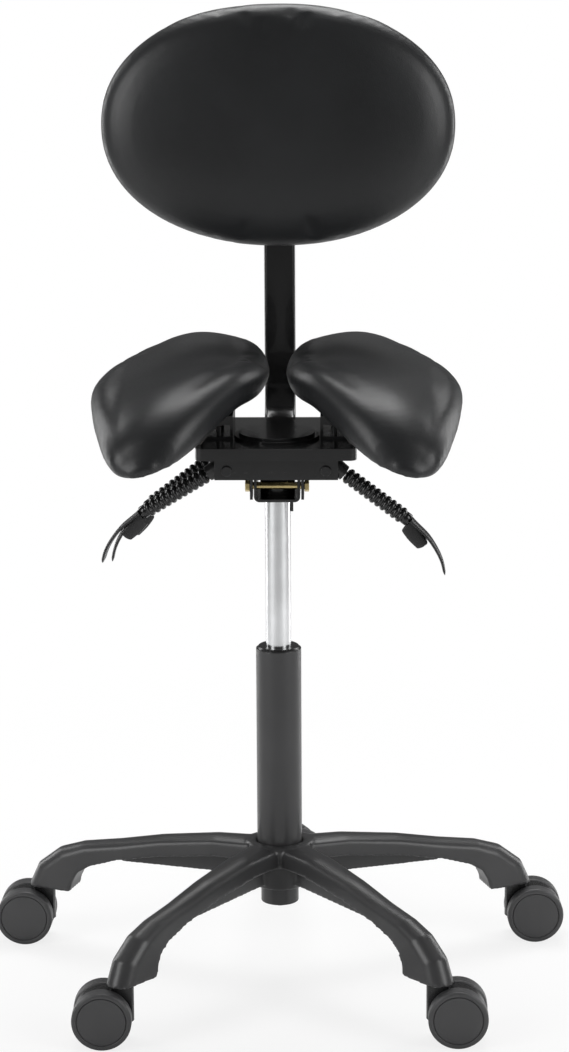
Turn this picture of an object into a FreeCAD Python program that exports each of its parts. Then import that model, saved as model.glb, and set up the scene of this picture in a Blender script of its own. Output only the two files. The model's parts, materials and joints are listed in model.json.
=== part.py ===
import FreeCAD, Part
import math
import os
import re
import Sketcher
from FreeCAD import Placement, Rotation, Vector

# A split saddle stool on a five-armed castor base, with an oval backrest.
# Millimetres, +Z up. The origin is on the floor under the column's axis,
# the sitter faces -Y and the backrest stands on the +Y side.

ARMS = 5
SIZES = {
    # Running gap of a shaft in its hole, gap between soft or loose neighbours
    "running_gap": 0.05,
    "loose_gap": 0.4,
    # Five-armed base
    "stem_circle_radius": 285,
    "first_arm_angle": 19,
    "hub_top": 149,
    "hub_foot": 98,
    "hub_radius": 36,
    "hub_foot_radius": 31,
    "hub_mouth_radius": 27.5,
    "hub_mouth_depth": 2.5,
    "arm_root_width": 46,
    "arm_waist_width": 33,
    "arm_nose_width": 38,
    "arm_waist_top": 129.5,
    "arm_waist_foot": 108,
    "arm_wall": 4,
    "nose_foot": 66,
    "nose_reach": 17,
    "nose_heel": 38,
    "rib_thickness": 8,
    "rib_foot": 104,
    # Twin-wheel castors
    "stem_radius": 5.5,
    "stem_top": 84,
    "stem_foot": 36,
    "stem_collar_radius": 11,
    "stem_collar_height": 2,
    "castor_trail": 21,
    "wheel_radius": 32,
    "wheel_width": 18,
    "wheel_inner_face": 8,
    "wheel_edge": 2.5,
    "wheel_dish_radius": 27,
    "wheel_dish_depth": 0.8,
    "wheel_bore_depth": 15,
    "axle_radius": 3,
    "axle_reach": 22,
    "hood_thickness": 13,
    "hood_radius": 30.5,
    "hood_neck_radius": 12.5,
    "hood_neck_top": 63.6,
    "hood_neck_foot": 26,
    # Gas column
    "tube_radius": 25,
    "tube_wall": 2,
    "tube_top": 371,
    "tube_cone_radius": 23.8,
    "tube_foot_radius": 21,
    "tube_foot": 77,
    "tube_floor": 3,
    "bush_foot": 302,
    "bush_lip_height": 2.5,
    "bush_lip_radius": 24,
    "cylinder_radius": 14,
    "cylinder_wall": 2,
    "cylinder_foot": 290,
    "cylinder_cap": 6,
    "cylinder_room_top": 470,
    "cylinder_top": 585,
    "taper_foot": 544,
    "taper_top_radius": 13.2,
    "rod_radius": 5,
    "rod_foot": 71,
    "rod_clip_radius": 9,
    "rod_clip_height": 1.5,
    "piston_foot": 300,
    "piston_height": 12,
    "bearing_radius": 15,
    "bearing_race": 1.5,
    "bearing_ball_radius": 1.5,
    "bearing_ball_circle": 11,
    "bump_stop_radius": 13,
    "bump_stop_height": 12,
    "pin_radius": 4,
    "pin_foot": 562,
    "pin_top": 589,
    "pin_room_foot": 553,
    # Hub bracket over the column and its tilt pivot
    "hub_bracket_width": 50,
    "hub_bracket_depth": 76,
    "hub_bracket_top": 583,
    "hub_bracket_wall": 3,
    "hub_bracket_corner": 6,
    "taper_socket_radius": 19,
    "hook_width": 4,
    "hook_drop": 10,
    "hook_side": 15.5,
    "pivot_side_y": -30,
    "pivot_height": 561,
    "pivot_radius": 4,
    "pivot_head_radius": 7,
    "pivot_head_height": 5,
    # Seat plate, its ears, its pressed boss and the cross channel
    "plate_width": 172,
    "plate_front": -94,
    "plate_rear": 74,
    "plate_top": 615,
    "plate_thickness": 3,
    "plate_lip": 13,
    "plate_corner": 8,
    "boss_radius": 46,
    "boss_step": 5,
    "boss_step_height": 3,
    "boss_centre_y": -30,
    "ear_thickness": 3,
    "ear_width": 26,
    "ear_drop": 66,
    "ear_gap": 1.2,
    "channel_length": 132,
    "channel_front": -80,
    "channel_depth": 35,
    "channel_foot": 578,
    "channel_wall": 3,
    "screw_side": 53,
    "screw_height": 588,
    "screw_radius": 3,
    "screw_head_radius": 5.5,
    "screw_head_height": 3,
    "screw_length": 5.5,
    # Saddle brackets, boards and cushions
    "bracket_inner": 47,
    "bracket_outer": 82,
    "bracket_length": 84,
    "bracket_wall": 3,
    "bracket_centre_y": -2,
    "board_thickness": 8,
    "board_inset": 14,
    "board_screw_side": 62,
    "board_screw_pitch": 68,
    "board_screw_radius": 3,
    "board_screw_length": 26,
    "seat_gap": 18,
    "cushion_width": 192,
    "cushion_rise": 0,
    # Levers
    "lever_side_x": 73,
    "lever_height": 582,
    "lever_rear_height": 585,
    "lever_front_y": -64,
    "lever_rear_y": -14,
    "lever_slope": 37,
    "lever_lift": 5,
    "lever_yaw": 8,
    "lever_rod_radius": 3,
    "lever_rod_reach": 95,
    "lever_rod_tail": 34,
    "lever_bush_length": 16,
    "lever_bush_root_radius": 10,
    "lever_bush_tip_radius": 8.5,
    "lever_bush_room": 1.6,
    "lever_gap": 2.2,
    "bellows_radius": 9,
    "bellows_valley_radius": 7,
    "bellows_pitch": 7,
    "bellows_ribs": 11,
    "bellows_collar": 7,
    "paddle_width": 20,
    "paddle_blade": 4,
    "paddle_block_width": 13,
    "finger_height": 597.5,
    "finger_radius": 3,
    # Back arm
    "back_pivot_y": 62,
    "back_pivot_height": 592,
    "back_pivot_radius": 4,
    "back_ear_side": 32,
    "back_ear_width": 26,
    "back_ear_drop": 28,
    "back_bracket_length": 52,
    "back_bracket_wall": 3,
    "bar_width": 35,
    "bar_thickness": 12,
    "bar_edge": 3,
    "bar_y": 190,
    "bar_run_height": 588,
    "bar_bend": 46,
    "bar_top": 950,
    # Backrest
    "clamp_foot": 868,
    "clamp_height": 66,
    "clamp_width": 88,
    "clamp_wall": 5,
    "clamp_gap": 0.3,
    "clamp_front": 178,
    "back_centre_height": 931,
    "back_width": 394,
    "back_height": 268,
    "back_front": 106,
    "back_board_thickness": 10,
    "back_board_inset": 16,
    "back_screw_side": 35,
    "back_screw_radius": 3,
    "back_screw_length": 13,
    "knob_height": 888,
    "knob_radius": 20,
    "knob_length": 22,
    "knob_stud_radius": 4,
}

doc = FreeCAD.newDocument("saddle_stool")
sheet = doc.addObject("Spreadsheet::Sheet", "Sizes")
for row, (alias, number) in enumerate(SIZES.items(), 1):
    sheet.set(f"A{row}", alias)
    sheet.set(f"B{row}", str(number))
    sheet.setAlias(f"B{row}", alias)
doc.recompute()

nodes = []


def named(expression):
    """Write an expression on size names with the sheet's name before each."""
    return re.sub(r"[a-z_]{3,}", lambda word: bound(word.group(0)), str(expression))


def bound(word):
    """Give a size's full name, and leave any other word as it is."""
    return f"Sizes.{word}" if word in SIZES else word


def value(expression):
    """Work out an expression from the sheet's present numbers."""
    return float(sheet.evalExpression(named(expression)))


def keep(piece, label):
    """Name a finished piece and list it for writing."""
    piece.Label = label
    nodes.append(piece)
    return piece


def add(kind, name, **sizes):
    """Add a Part object whose sizes are expressions on the sheet."""
    piece = doc.addObject(kind, name)
    for size, expression in sizes.items():
        piece.setExpression(size, named(expression))
    return piece


def put(piece, x=0, y=0, z=0, axis=(0, 0, 1), turn=0):
    """Place a piece: its turn first, then its base bound to the sheet."""
    piece.Placement = Placement(Vector(), Rotation(Vector(*axis), turn))
    for letter, expression in zip("xyz", (x, y, z)):
        piece.setExpression(f"Placement.Base.{letter}", named(expression))
    return piece


def rod(name, radius, length, x=0, y=0, z=0, axis=(0, 0, 1), turn=0):
    """A cylinder that starts at x, y, z."""
    return put(add("Part::Cylinder", name, Radius=radius, Height=length), x, y, z, axis, turn)


def block(name, length, width, height, x, y, z):
    """A box from its lowest corner."""
    return put(add("Part::Box", name, Length=length, Width=width, Height=height), x, y, z)


def cut(name, base, tool):
    """Base without tool."""
    piece = doc.addObject("Part::Cut", name)
    piece.Base = base
    piece.Tool = tool
    return piece


def joined(name, pieces):
    """One solid from pieces that overlap."""
    piece = doc.addObject("Part::MultiFuse", name)
    piece.Shapes = pieces
    return piece


def group(name, pieces):
    """Separate solids of one node."""
    piece = doc.addObject("Part::Compound", name)
    piece.Links = pieces
    return piece


def shaped(name, shape):
    """A piece whose form is worked out here from the sheet's numbers."""
    piece = doc.addObject("Part::Feature", name)
    piece.Shape = shape
    return piece


def outline(body, name, role, points):
    """A closed sketch through points, each tied to the sheet."""
    sketch = body.newObject("Sketcher::SketchObject", name)
    plane = next(part for part in body.Origin.OriginFeatures if part.Role == role)
    sketch.AttachmentSupport = [(plane, "")]
    sketch.MapMode = "FlatFace"
    corners = [Vector(value(across), value(up), 0) for across, up in points]
    count = len(corners)
    for index in range(count):
        sketch.addGeometry(Part.LineSegment(corners[index], corners[(index + 1) % count]), False)
    for index in range(count):
        sketch.addConstraint(Sketcher.Constraint("Coincident", index, 2, (index + 1) % count, 1))
    for index, pair in enumerate(points):
        for kind, zero, expression in (("DistanceX", -2, pair[0]), ("DistanceY", -1, pair[1])):
            size = value(expression)
            if size == 0:
                sketch.addConstraint(Sketcher.Constraint("PointOnObject", index, 1, zero))
                continue
            made = sketch.addConstraint(Sketcher.Constraint(kind, -1, 1, index, 1, size))
            sketch.setExpression(f"Constraints[{made}]", named(expression))
    return sketch


def turned(name, points):
    """A body turned about Z from (radius, height) corners."""
    body = doc.addObject("PartDesign::Body", name)
    sketch = outline(body, f"{name}_profile", "XZ_Plane", points)
    feature = body.newObject("PartDesign::Revolution", f"{name}_turning")
    feature.Profile = sketch
    feature.ReferenceAxis = (sketch, ["V_Axis"])
    feature.Angle = 360
    body.Tip = feature
    return body


def slab(name, role, points, length):
    """A body padded both ways from corners on one of its planes."""
    body = doc.addObject("PartDesign::Body", name)
    feature = body.newObject("PartDesign::Pad", f"{name}_pad")
    feature.Profile = outline(body, f"{name}_profile", role, points)
    feature.setExpression("Length", named(length))
    feature.Midplane = True
    body.Tip = feature
    return body


def rounded(name, base, radius, chosen):
    """Fillet the edges that a test picks."""
    doc.recompute()
    size = value(radius)
    piece = doc.addObject("Part::Fillet", name)
    piece.Base = base
    edges = enumerate(base.Shape.Edges, 1)
    piece.Edges = [(index, size, size) for index, edge in edges if chosen(edge)]
    return piece


def runs_along(edge, direction):
    """Whether an edge is straight and runs along a direction."""
    if edge.Curve.TypeId != "Part::GeomLine":
        return False
    return abs(abs(edge.tangentAt(edge.FirstParameter).dot(direction)) - 1) < 1e-6


def slice_of_arm(foot, crown, width, rise):
    """A slice across an arm: flat foot, sides leaning in, an arc over the crown."""
    up = (crown - foot).normalize()
    shoulder = crown - up * rise
    half = Vector(0, width / 2, 0)
    inner = half * 0.86
    return Part.Wire([
        Part.makeLine(foot - half, foot + half),
        Part.makeLine(foot + half, shoulder + inner),
        Part.Arc(shoulder + inner, crown, shoulder - inner).toShape(),
        Part.makeLine(shoulder - inner, foot - half),
    ])


def arm_form():
    """An arm along +X: slices that fan over the nose, down to the stem's socket."""
    reach = value("stem_circle_radius")
    root = value("arm_root_width")
    waist = value("arm_waist_width")
    nose = value("arm_nose_width")
    top = value("hub_top")
    high = value("arm_waist_top")
    low = value("arm_waist_foot")
    foot = value("nose_foot")
    heel = reach - value("nose_heel")
    toe = reach + value("nose_reach")
    droop = high - foot
    slices = [
        (20, low + 19, 20, top, root, 5),
        (75, low + 18, 75, top - 1.5, (root + waist) / 2, 5),
        (reach * 0.49, low + 10, reach * 0.49, high + 10, waist + 2, 6),
        (reach * 0.67, low, reach * 0.67, high, waist, 7),
        (heel - 24, low - 10, heel - 12, high - 7, waist, 8),
        (heel - 9, foot + droop * 0.36, heel + 17, foot + droop * 0.74, (waist + nose) / 2, 11),
        (heel - 2, foot + droop * 0.15, toe - 12, foot + droop * 0.42, nose - 1, 14),
        (heel, foot, toe, foot, nose, nose * 0.42),
    ]
    wires = []
    for foot_r, foot_z, crown_r, crown_z, width, rise in slices:
        wires.append(slice_of_arm(Vector(foot_r, 0, foot_z), Vector(crown_r, 0, crown_z), width, rise))
    return Part.makeLoft(wires, True, True)


def arm_hollow():
    """The room under an arm's skin, open below."""
    reach = value("stem_circle_radius")
    wall = value("arm_wall")
    root = value("arm_root_width") - 3 * wall
    waist = value("arm_waist_width") - 2 * wall
    top = value("arm_waist_top") - wall
    low = value("arm_waist_foot") - 3 * wall
    slices = [
        (value("hub_radius") + 14, low, top + 13, (root + waist) / 2),
        (reach * 0.49, low, top + 9, waist),
        (reach * 0.67, low, top - 1, waist - 2),
        (reach - value("nose_heel") - 14, low - 14, top - 13, waist - 4),
    ]
    wires = []
    for radius, foot, crown, width in slices:
        wires.append(slice_of_arm(Vector(radius, 0, foot), Vector(radius, 0, crown), width, 5))
    return Part.makeLoft(wires, True, True)


def make_base():
    """Hub, five arms with a rib each, and a socket for each castor's stem."""
    hub = turned("hub", [
        ("tube_cone_radius", "hub_foot"), ("hub_foot_radius", "hub_foot"),
        ("hub_radius", "hub_foot + 22"), ("hub_radius", "hub_top"),
        ("hub_mouth_radius", "hub_top"), ("tube_radius", "hub_top - hub_mouth_depth"),
    ])
    room = turned("hub_room", [
        (0, "hub_foot"), ("tube_cone_radius", "hub_foot"),
        ("tube_radius", "hub_top - hub_mouth_depth"), ("tube_radius", "hub_top + 10"),
        (0, "hub_top + 10"),
    ])
    pieces = [hub]
    for index in range(ARMS):
        skin = shaped(f"arm_skin_{index}", arm_form())
        hollow = shaped(f"arm_hollow_{index}", arm_hollow())
        arm = cut(f"arm_shell_{index}", skin, hollow)
        rib = slab(f"arm_rib_{index}", "XZ_Plane", [
            ("tube_radius + 3", "rib_foot"), ("stem_circle_radius * 0.66", "rib_foot"),
            ("stem_circle_radius * 0.7", "arm_waist_foot + 8"), (90, "hub_top - 14"),
            ("tube_radius + 3", "hub_top - 14"),
        ], "rib_thickness")
        whole = joined(f"arm_{index}", [arm, rib])
        socket = rod(f"arm_socket_{index}", "stem_radius", "stem_top - nose_foot + 1",
                     x="stem_circle_radius", z="nose_foot - 1")
        bored = cut(f"arm_bored_{index}", whole, socket)
        bored.Placement = Placement(Vector(), Rotation(Vector(0, 0, 1), arm_angle(index)))
        pieces.append(bored)
    keep(cut("base_casting", joined("base_blank", pieces), room), "star_base")


def arm_angle(index):
    """The direction of one arm, in degrees."""
    return value("first_arm_angle") + index * 360 / ARMS


def arm_end(index):
    """The foot of one castor's stem axis on the floor."""
    angle = math.radians(arm_angle(index))
    reach = value("stem_circle_radius")
    return Vector(reach * math.cos(angle), reach * math.sin(angle), 0)


# Where each castor trails, seen from above: the side ones and the front ones
# point out to their own side, and the rear one, behind the column, to the right.
TRAIL_ANGLES = (3, 25, 177, 180, 0)


def at_castor(piece, index):
    """Move a piece built about its stem to one castor, turned to its trail."""
    piece.Placement = Placement(arm_end(index), Rotation(Vector(0, 0, 1), TRAIL_ANGLES[index]))
    return piece


def make_stems():
    """Five steel stems with their collars, pressed into the arms."""
    stems = []
    for index in range(ARMS):
        stem = turned(f"stem_{index}", [
            (0, "stem_foot"), ("stem_radius", "stem_foot"),
            ("stem_radius", "nose_foot - stem_collar_height"),
            ("stem_collar_radius", "nose_foot - stem_collar_height"),
            ("stem_collar_radius", "nose_foot"), ("stem_radius", "nose_foot"),
            ("stem_radius", "stem_top"), (0, "stem_top"),
        ])
        stems.append(at_castor(stem, index))
    keep(group("stems", stems), "castor_stems")


def make_hood(index):
    """A castor's body: a disc between the wheels and a neck that turns on the stem."""
    disc = rod(f"hood_disc_{index}", "hood_radius", "hood_thickness", x="castor_trail",
               y="hood_thickness / 2", z="wheel_radius", axis=(1, 0, 0), turn=90)
    neck = rod(f"hood_neck_{index}", "hood_neck_radius", "hood_neck_top - hood_neck_foot",
               z="hood_neck_foot")
    trim = block(f"hood_trim_{index}", "hood_neck_radius * 2 + 1", "hood_thickness",
                 "hood_neck_top", "-hood_neck_radius - 1", "-hood_thickness / 2", 0)
    arc = doc.addObject("Part::MultiCommon", f"hood_web_{index}")
    arc.Shapes = [neck, trim]
    hole = rod(f"hood_hole_{index}", "stem_radius + running_gap", "wheel_radius * 2",
               z="stem_foot - loose_gap")
    bore = rod(f"hood_bore_{index}", "axle_radius", "hood_thickness + 2", x="castor_trail",
               y="hood_thickness / 2 + 1", z="wheel_radius", axis=(1, 0, 0), turn=90)
    body = joined(f"hood_body_{index}", [disc, arc])
    hood = cut(f"hood_{index}", cut(f"hood_holed_{index}", body, hole), bore)
    keep(at_castor(hood, index), f"castor_{index + 1}_hood")
    axle = rod(f"axle_{index}", "axle_radius", "axle_reach * 2", x="castor_trail",
               y="axle_reach", z="wheel_radius", axis=(1, 0, 0), turn=90)
    carrier = group(f"axle_carrier_{index}", [axle])
    keep(at_castor(carrier, index), f"castor_{index + 1}_axle")


def make_wheel(index, side, name):
    """A wheel with a rounded tread, a dished face and a blind bore for the axle."""
    wheel = turned(f"wheel_{name}_{index}", [
        ("axle_radius + running_gap", 0), ("wheel_radius - wheel_edge", 0),
        ("wheel_radius", "wheel_edge"), ("wheel_radius", "wheel_width - wheel_edge"),
        ("wheel_radius - wheel_edge", "wheel_width"), ("wheel_dish_radius", "wheel_width"),
        ("wheel_dish_radius - wheel_dish_depth", "wheel_width - wheel_dish_depth"),
        (0, "wheel_width - wheel_dish_depth"), (0, "wheel_bore_depth"),
        ("axle_radius + running_gap", "wheel_bore_depth"),
    ])
    wheel.Placement = Placement(
        Vector(value("castor_trail"), side * value("wheel_inner_face"), value("wheel_radius")),
        Rotation(Vector(1, 0, 0), -90 * side))
    carrier = group(f"wheel_carrier_{name}_{index}", [wheel])
    keep(at_castor(carrier, index), f"castor_{index + 1}_wheel_{name}")


def make_castors():
    """Stems in the base, then each castor's hood, axle and two wheels."""
    make_stems()
    for index in range(ARMS):
        make_hood(index)
        make_wheel(index, -1, "near")
        make_wheel(index, 1, "far")


def make_column():
    """The gas column: tube, bush, bearing, rod, piston, cylinder and valve pin."""
    keep(turned("tube", [
        ("rod_radius + loose_gap", "tube_foot"), ("tube_foot_radius", "tube_foot"),
        ("tube_foot_radius", "hub_foot"), ("tube_cone_radius", "hub_foot"),
        ("tube_radius", "hub_top - hub_mouth_depth"), ("tube_radius", "tube_top"),
        ("tube_radius - tube_wall", "tube_top"), ("tube_radius - tube_wall", "hub_top"),
        ("tube_foot_radius - tube_wall", "hub_foot"),
        ("tube_foot_radius - tube_wall", "tube_foot + tube_floor"),
        ("rod_radius + loose_gap", "tube_foot + tube_floor"),
    ]), "outer_tube")
    keep(turned("bush", [
        ("cylinder_radius + running_gap", "bush_foot"), ("tube_radius - tube_wall", "bush_foot"),
        ("tube_radius - tube_wall", "tube_top"), ("bush_lip_radius", "tube_top"),
        ("bush_lip_radius - 2", "tube_top + bush_lip_height"),
        ("cylinder_radius + running_gap", "tube_top + bush_lip_height"),
    ]), "guide_bush")
    make_bearing()
    stop_foot = "tube_foot + tube_floor + 2 * bearing_race + 2 * bearing_ball_radius"
    keep(turned("stop", [
        ("rod_radius + loose_gap", stop_foot), ("bump_stop_radius", stop_foot),
        ("bump_stop_radius", f"{stop_foot} + bump_stop_height"),
        ("rod_radius + loose_gap", f"{stop_foot} + bump_stop_height"),
    ]), "bump_stop")
    keep(turned("rod_piece", [
        (0, "rod_foot"), ("rod_radius", "rod_foot"), ("rod_radius", "piston_foot"),
        ("cylinder_radius - cylinder_wall - running_gap", "piston_foot"),
        ("cylinder_radius - cylinder_wall - running_gap", "piston_foot + piston_height"),
        (0, "piston_foot + piston_height"),
    ]), "piston_rod")
    clip_top = "tube_foot - loose_gap"
    keep(turned("clip", [
        ("rod_radius", f"{clip_top} - rod_clip_height"),
        ("rod_clip_radius", f"{clip_top} - rod_clip_height"),
        ("rod_clip_radius", clip_top), ("rod_radius", clip_top),
    ]), "rod_clip")
    keep(turned("cylinder", [
        ("rod_radius + running_gap", "cylinder_foot"), ("cylinder_radius", "cylinder_foot"),
        ("cylinder_radius", "taper_foot"), ("taper_top_radius", "cylinder_top"),
        ("pin_radius + running_gap", "cylinder_top"),
        ("pin_radius + running_gap", "pin_room_foot"), (0, "pin_room_foot"),
        (0, "cylinder_room_top"), ("cylinder_radius - cylinder_wall", "cylinder_room_top"),
        ("cylinder_radius - cylinder_wall", "cylinder_foot + cylinder_cap"),
        ("rod_radius + running_gap", "cylinder_foot + cylinder_cap"),
    ]), "gas_cylinder")
    keep(rod("valve_pin", "pin_radius", "pin_top - pin_foot", z="pin_foot"), "release_pin")


def make_bearing():
    """Two races and a ring of balls between them, under the piston rod."""
    floor = "tube_foot + tube_floor"
    races = []
    for name, foot in (("low", floor), ("high", f"{floor} + bearing_race + 2 * bearing_ball_radius")):
        races.append(turned(f"race_{name}", [
            ("rod_radius + loose_gap", foot), ("bearing_radius", foot),
            ("bearing_radius", f"{foot} + bearing_race"),
            ("rod_radius + loose_gap", f"{foot} + bearing_race"),
        ]))
    balls = 10
    for index in range(balls):
        angle = 2 * math.pi * index / balls
        ball = add("Part::Sphere", f"ball_{index}", Radius="bearing_ball_radius")
        put(ball, x=f"bearing_ball_circle * {math.cos(angle):.6f}",
            y=f"bearing_ball_circle * {math.sin(angle):.6f}",
            z=f"{floor} + bearing_race + bearing_ball_radius")
        races.append(ball)
    keep(group("bearing", races), "thrust_bearing")


def make_hub_bracket():
    """A channel open upwards, with the column's taper socket and a spring hook."""
    outside = block("hub_channel_outside", "hub_bracket_width", "hub_bracket_depth",
                    "hub_bracket_top - taper_foot", "-hub_bracket_width / 2",
                    "-hub_bracket_depth / 2", "taper_foot")
    low = value("taper_foot")
    outside = rounded("hub_channel_rounded", outside, "hub_bracket_corner",
                      lambda edge: runs_along(edge, Vector(0, 1, 0)) and edge.CenterOfMass.z < low + 1)
    inside = block("hub_channel_inside", "hub_bracket_width - 2 * hub_bracket_wall",
                   "hub_bracket_depth + 2", "hub_bracket_top - taper_foot",
                   "hub_bracket_wall - hub_bracket_width / 2", "-hub_bracket_depth / 2 - 1",
                   "taper_foot + hub_bracket_wall")
    channel = cut("hub_channel", outside, inside)
    socket = rod("taper_socket", "taper_socket_radius", "hub_bracket_top - taper_foot", z="taper_foot")
    hook = block("spring_hook", "hook_width", "hub_bracket_wall", "hook_drop + 1",
                 "hook_side - hook_width / 2", "-hub_bracket_depth / 2", "taper_foot - hook_drop")
    taper = turned("taper_room", [
        (0, "taper_foot"), ("cylinder_radius", "taper_foot"),
        ("taper_top_radius", "cylinder_top"), (0, "cylinder_top"),
    ])
    bolt = rod("bracket_bolt_hole", "pivot_radius", "hub_bracket_width + 2",
               x="-hub_bracket_width / 2 - 1", y="pivot_side_y", z="pivot_height",
               axis=(0, 1, 0), turn=90)
    body = joined("hub_bracket_blank", [channel, socket, hook])
    keep(cut("hub_bracket_bored", cut("hub_bracket_tapered", body, taper), bolt), "hub_bracket")
    half = "(hub_bracket_width / 2 + ear_gap + ear_thickness + loose_gap)"
    shank = rod("pivot_shank", "pivot_radius", f"2 * {half}", x=f"-{half}",
                y="pivot_side_y", z="pivot_height", axis=(0, 1, 0), turn=90)
    heads = []
    for name, start in (("head", f"-{half} - pivot_head_height"), ("nut", half)):
        head = add("Part::Prism", f"pivot_{name}", Circumradius="pivot_head_radius",
                   Height="pivot_head_height")
        heads.append(put(head, x=start, y="pivot_side_y", z="pivot_height", axis=(0, 1, 0), turn=90))
    keep(joined("pivot_whole", [shank] + heads), "pivot_bolt")


def plate_ears(name, side, centre_y, width, drop):
    """Two ears that hang from the plate, one each side."""
    ears = []
    for letter, start in (("left", f"-({side}) - ear_thickness"), ("right", side)):
        ears.append(block(f"{name}_{letter}", "ear_thickness", width, drop, start,
                          f"{centre_y} - {width} / 2", f"plate_top - 1 - ({drop})"))
    return ears


def make_seat_plate():
    """The pressed plate with a turned-down lip, a stepped boss and ears for both pivots."""
    outside = block("plate_outside", "plate_width", "plate_rear - plate_front", "plate_lip",
                    "-plate_width / 2", "plate_front", "plate_top - plate_lip")
    outside = rounded("plate_rounded", outside, "plate_corner",
                      lambda edge: runs_along(edge, Vector(0, 0, 1)))
    inside = block("plate_inside", "plate_width - 2 * plate_thickness",
                   "plate_rear - plate_front - 2 * plate_thickness", "plate_lip",
                   "plate_thickness - plate_width / 2", "plate_front + plate_thickness",
                   "plate_top - plate_lip - plate_thickness")
    inside = rounded("plate_inside_rounded", inside, "plate_corner - plate_thickness",
                     lambda edge: runs_along(edge, Vector(0, 0, 1)))
    tray = cut("plate_tray", outside, inside)
    low_step = rod("boss_low", "boss_radius", "boss_step_height + 1", y="boss_centre_y",
                   z="plate_top - 1")
    high_step = rod("boss_high", "boss_radius - boss_step", "boss_step_height + 1",
                    y="boss_centre_y", z="plate_top + boss_step_height - 1")
    tilt_ears = plate_ears("tilt_ear", "hub_bracket_width / 2 + ear_gap", "pivot_side_y",
                           "ear_width", "ear_drop")
    back_ears = plate_ears("back_ear", "back_ear_side", "back_pivot_y - 2",
                           "back_ear_width", "back_ear_drop + 6")
    rear_ear = block("lever_ear", "ear_thickness", "ear_width",
                     "plate_top - 1 - lever_rear_height + lever_bush_root_radius",
                     "-channel_length / 2", "lever_rear_y - ear_width / 2",
                     "lever_rear_height - lever_bush_root_radius")
    blank = joined("plate_blank", [tray, low_step, high_step, rear_ear] + tilt_ears + back_ears)
    across = "hub_bracket_width + 60"
    tilt_hole = rod("plate_tilt_hole", "pivot_radius + running_gap", across,
                    x=f"-({across}) / 2", y="pivot_side_y", z="pivot_height", axis=(0, 1, 0), turn=90)
    back_hole = rod("plate_back_hole", "back_pivot_radius", across, x=f"-({across}) / 2",
                    y="back_pivot_y", z="back_pivot_height", axis=(0, 1, 0), turn=90)
    holes = [tilt_hole, back_hole] + seat_screw_shanks("plate", "board_screw_radius")
    holes += lever_rooms("plate")
    keep(cut("plate_whole", blank, joined("plate_holes", holes)), "seat_plate")


def screw_places():
    """The four places where screws hold the two seat boards, as signs and a label."""
    return [(side, end, f"{side}{end}".replace("-", "m")) for side in (-1, 1) for end in (-1, 1)]


def seat_screw_shanks(owner, radius):
    """The screws' shanks, or their holes, up from under the plate."""
    shanks = []
    for side, end, label in screw_places():
        shanks.append(rod(f"{owner}_shank_{label}", radius, "board_screw_length",
                          x=f"board_screw_side * {side}",
                          y=f"bracket_centre_y + board_screw_pitch / 2 * {end}",
                          z="plate_top - plate_thickness"))
    return shanks


def make_seat_screws():
    """Four screws up through the plate and brackets into the boards."""
    screws = []
    shanks = seat_screw_shanks("screw", "board_screw_radius")
    for shank, (side, end, label) in zip(shanks, screw_places()):
        head = rod(f"screw_cap_{label}", "screw_head_radius", "screw_head_height",
                   x=f"board_screw_side * {side}",
                   y=f"bracket_centre_y + board_screw_pitch / 2 * {end}",
                   z="plate_top - plate_thickness - screw_head_height")
        screws.append(joined(f"seat_screw_{label}", [shank, head]))
    keep(group("seat_screw_set", screws), "seat_screws")


def make_cross_channel():
    """An angle under the plate's front: an upright front, a top and two end walls."""
    under = "plate_top - plate_thickness"
    front = block("channel_face", "channel_length", "channel_wall", f"{under} - channel_foot",
                  "-channel_length / 2", "channel_front", "channel_foot")
    top = block("channel_roof", "channel_length", "channel_depth", "channel_wall",
                "-channel_length / 2", "channel_front", f"{under} - channel_wall")
    ends = []
    for name, start in (("left", "-channel_length / 2"), ("right", "channel_length / 2 - channel_wall")):
        ends.append(block(f"channel_end_{name}", "channel_wall", "channel_depth",
                          f"{under} - channel_foot", start, "channel_front", "channel_foot"))
    blank = joined("channel_blank", [front, top] + ends)
    tools = []
    screws = []
    for side in (-1, 1):
        label = "left" if side < 0 else "right"
        tools.append(rod(f"channel_hole_{label}", "screw_radius", "channel_wall + 2",
                         x=f"screw_side * {side}", y="channel_front + channel_wall + 1",
                         z="screw_height", axis=(1, 0, 0), turn=90))
        shank = rod(f"channel_shank_{label}", "screw_radius", "screw_length",
                    x=f"screw_side * {side}", y="channel_front + screw_length", z="screw_height",
                    axis=(1, 0, 0), turn=90)
        head = rod(f"channel_head_{label}", "screw_head_radius", "screw_head_height",
                   x=f"screw_side * {side}", y="channel_front", z="screw_height",
                   axis=(1, 0, 0), turn=90)
        screws.append(joined(f"channel_screw_{label}", [shank, head]))
    tools += lever_rooms("channel")
    keep(cut("channel_whole", blank, joined("channel_holes", tools)), "cross_channel")
    keep(group("channel_screw_set", screws), "channel_screws")


# The seat half's slices, front to rear. Each gives how far along the seat it is,
# its inner and outer edge, the foot's height there, and the crest's height.
SEAT_SLICES = (
    (-166, 127, 159, 600, 595, 613),
    (-156, 104, 175, 606, 594, 637),
    (-136, 82, 186, 615, 595, 657),
    (-105, 58, 195, 631, 603, 673),
    (-70, 34, 203, 648, 615, 683),
    (-30, 17, 207, 652, 625, 688),
    (20, 13, 207, 648, 629, 690),
    (70, 13, 196, 646, 632, 694),
    (112, 22, 174, 648, 638, 698),
    (140, 46, 148, 655, 649, 697),
    (154, 70, 126, 668, 664, 689),
)


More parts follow.
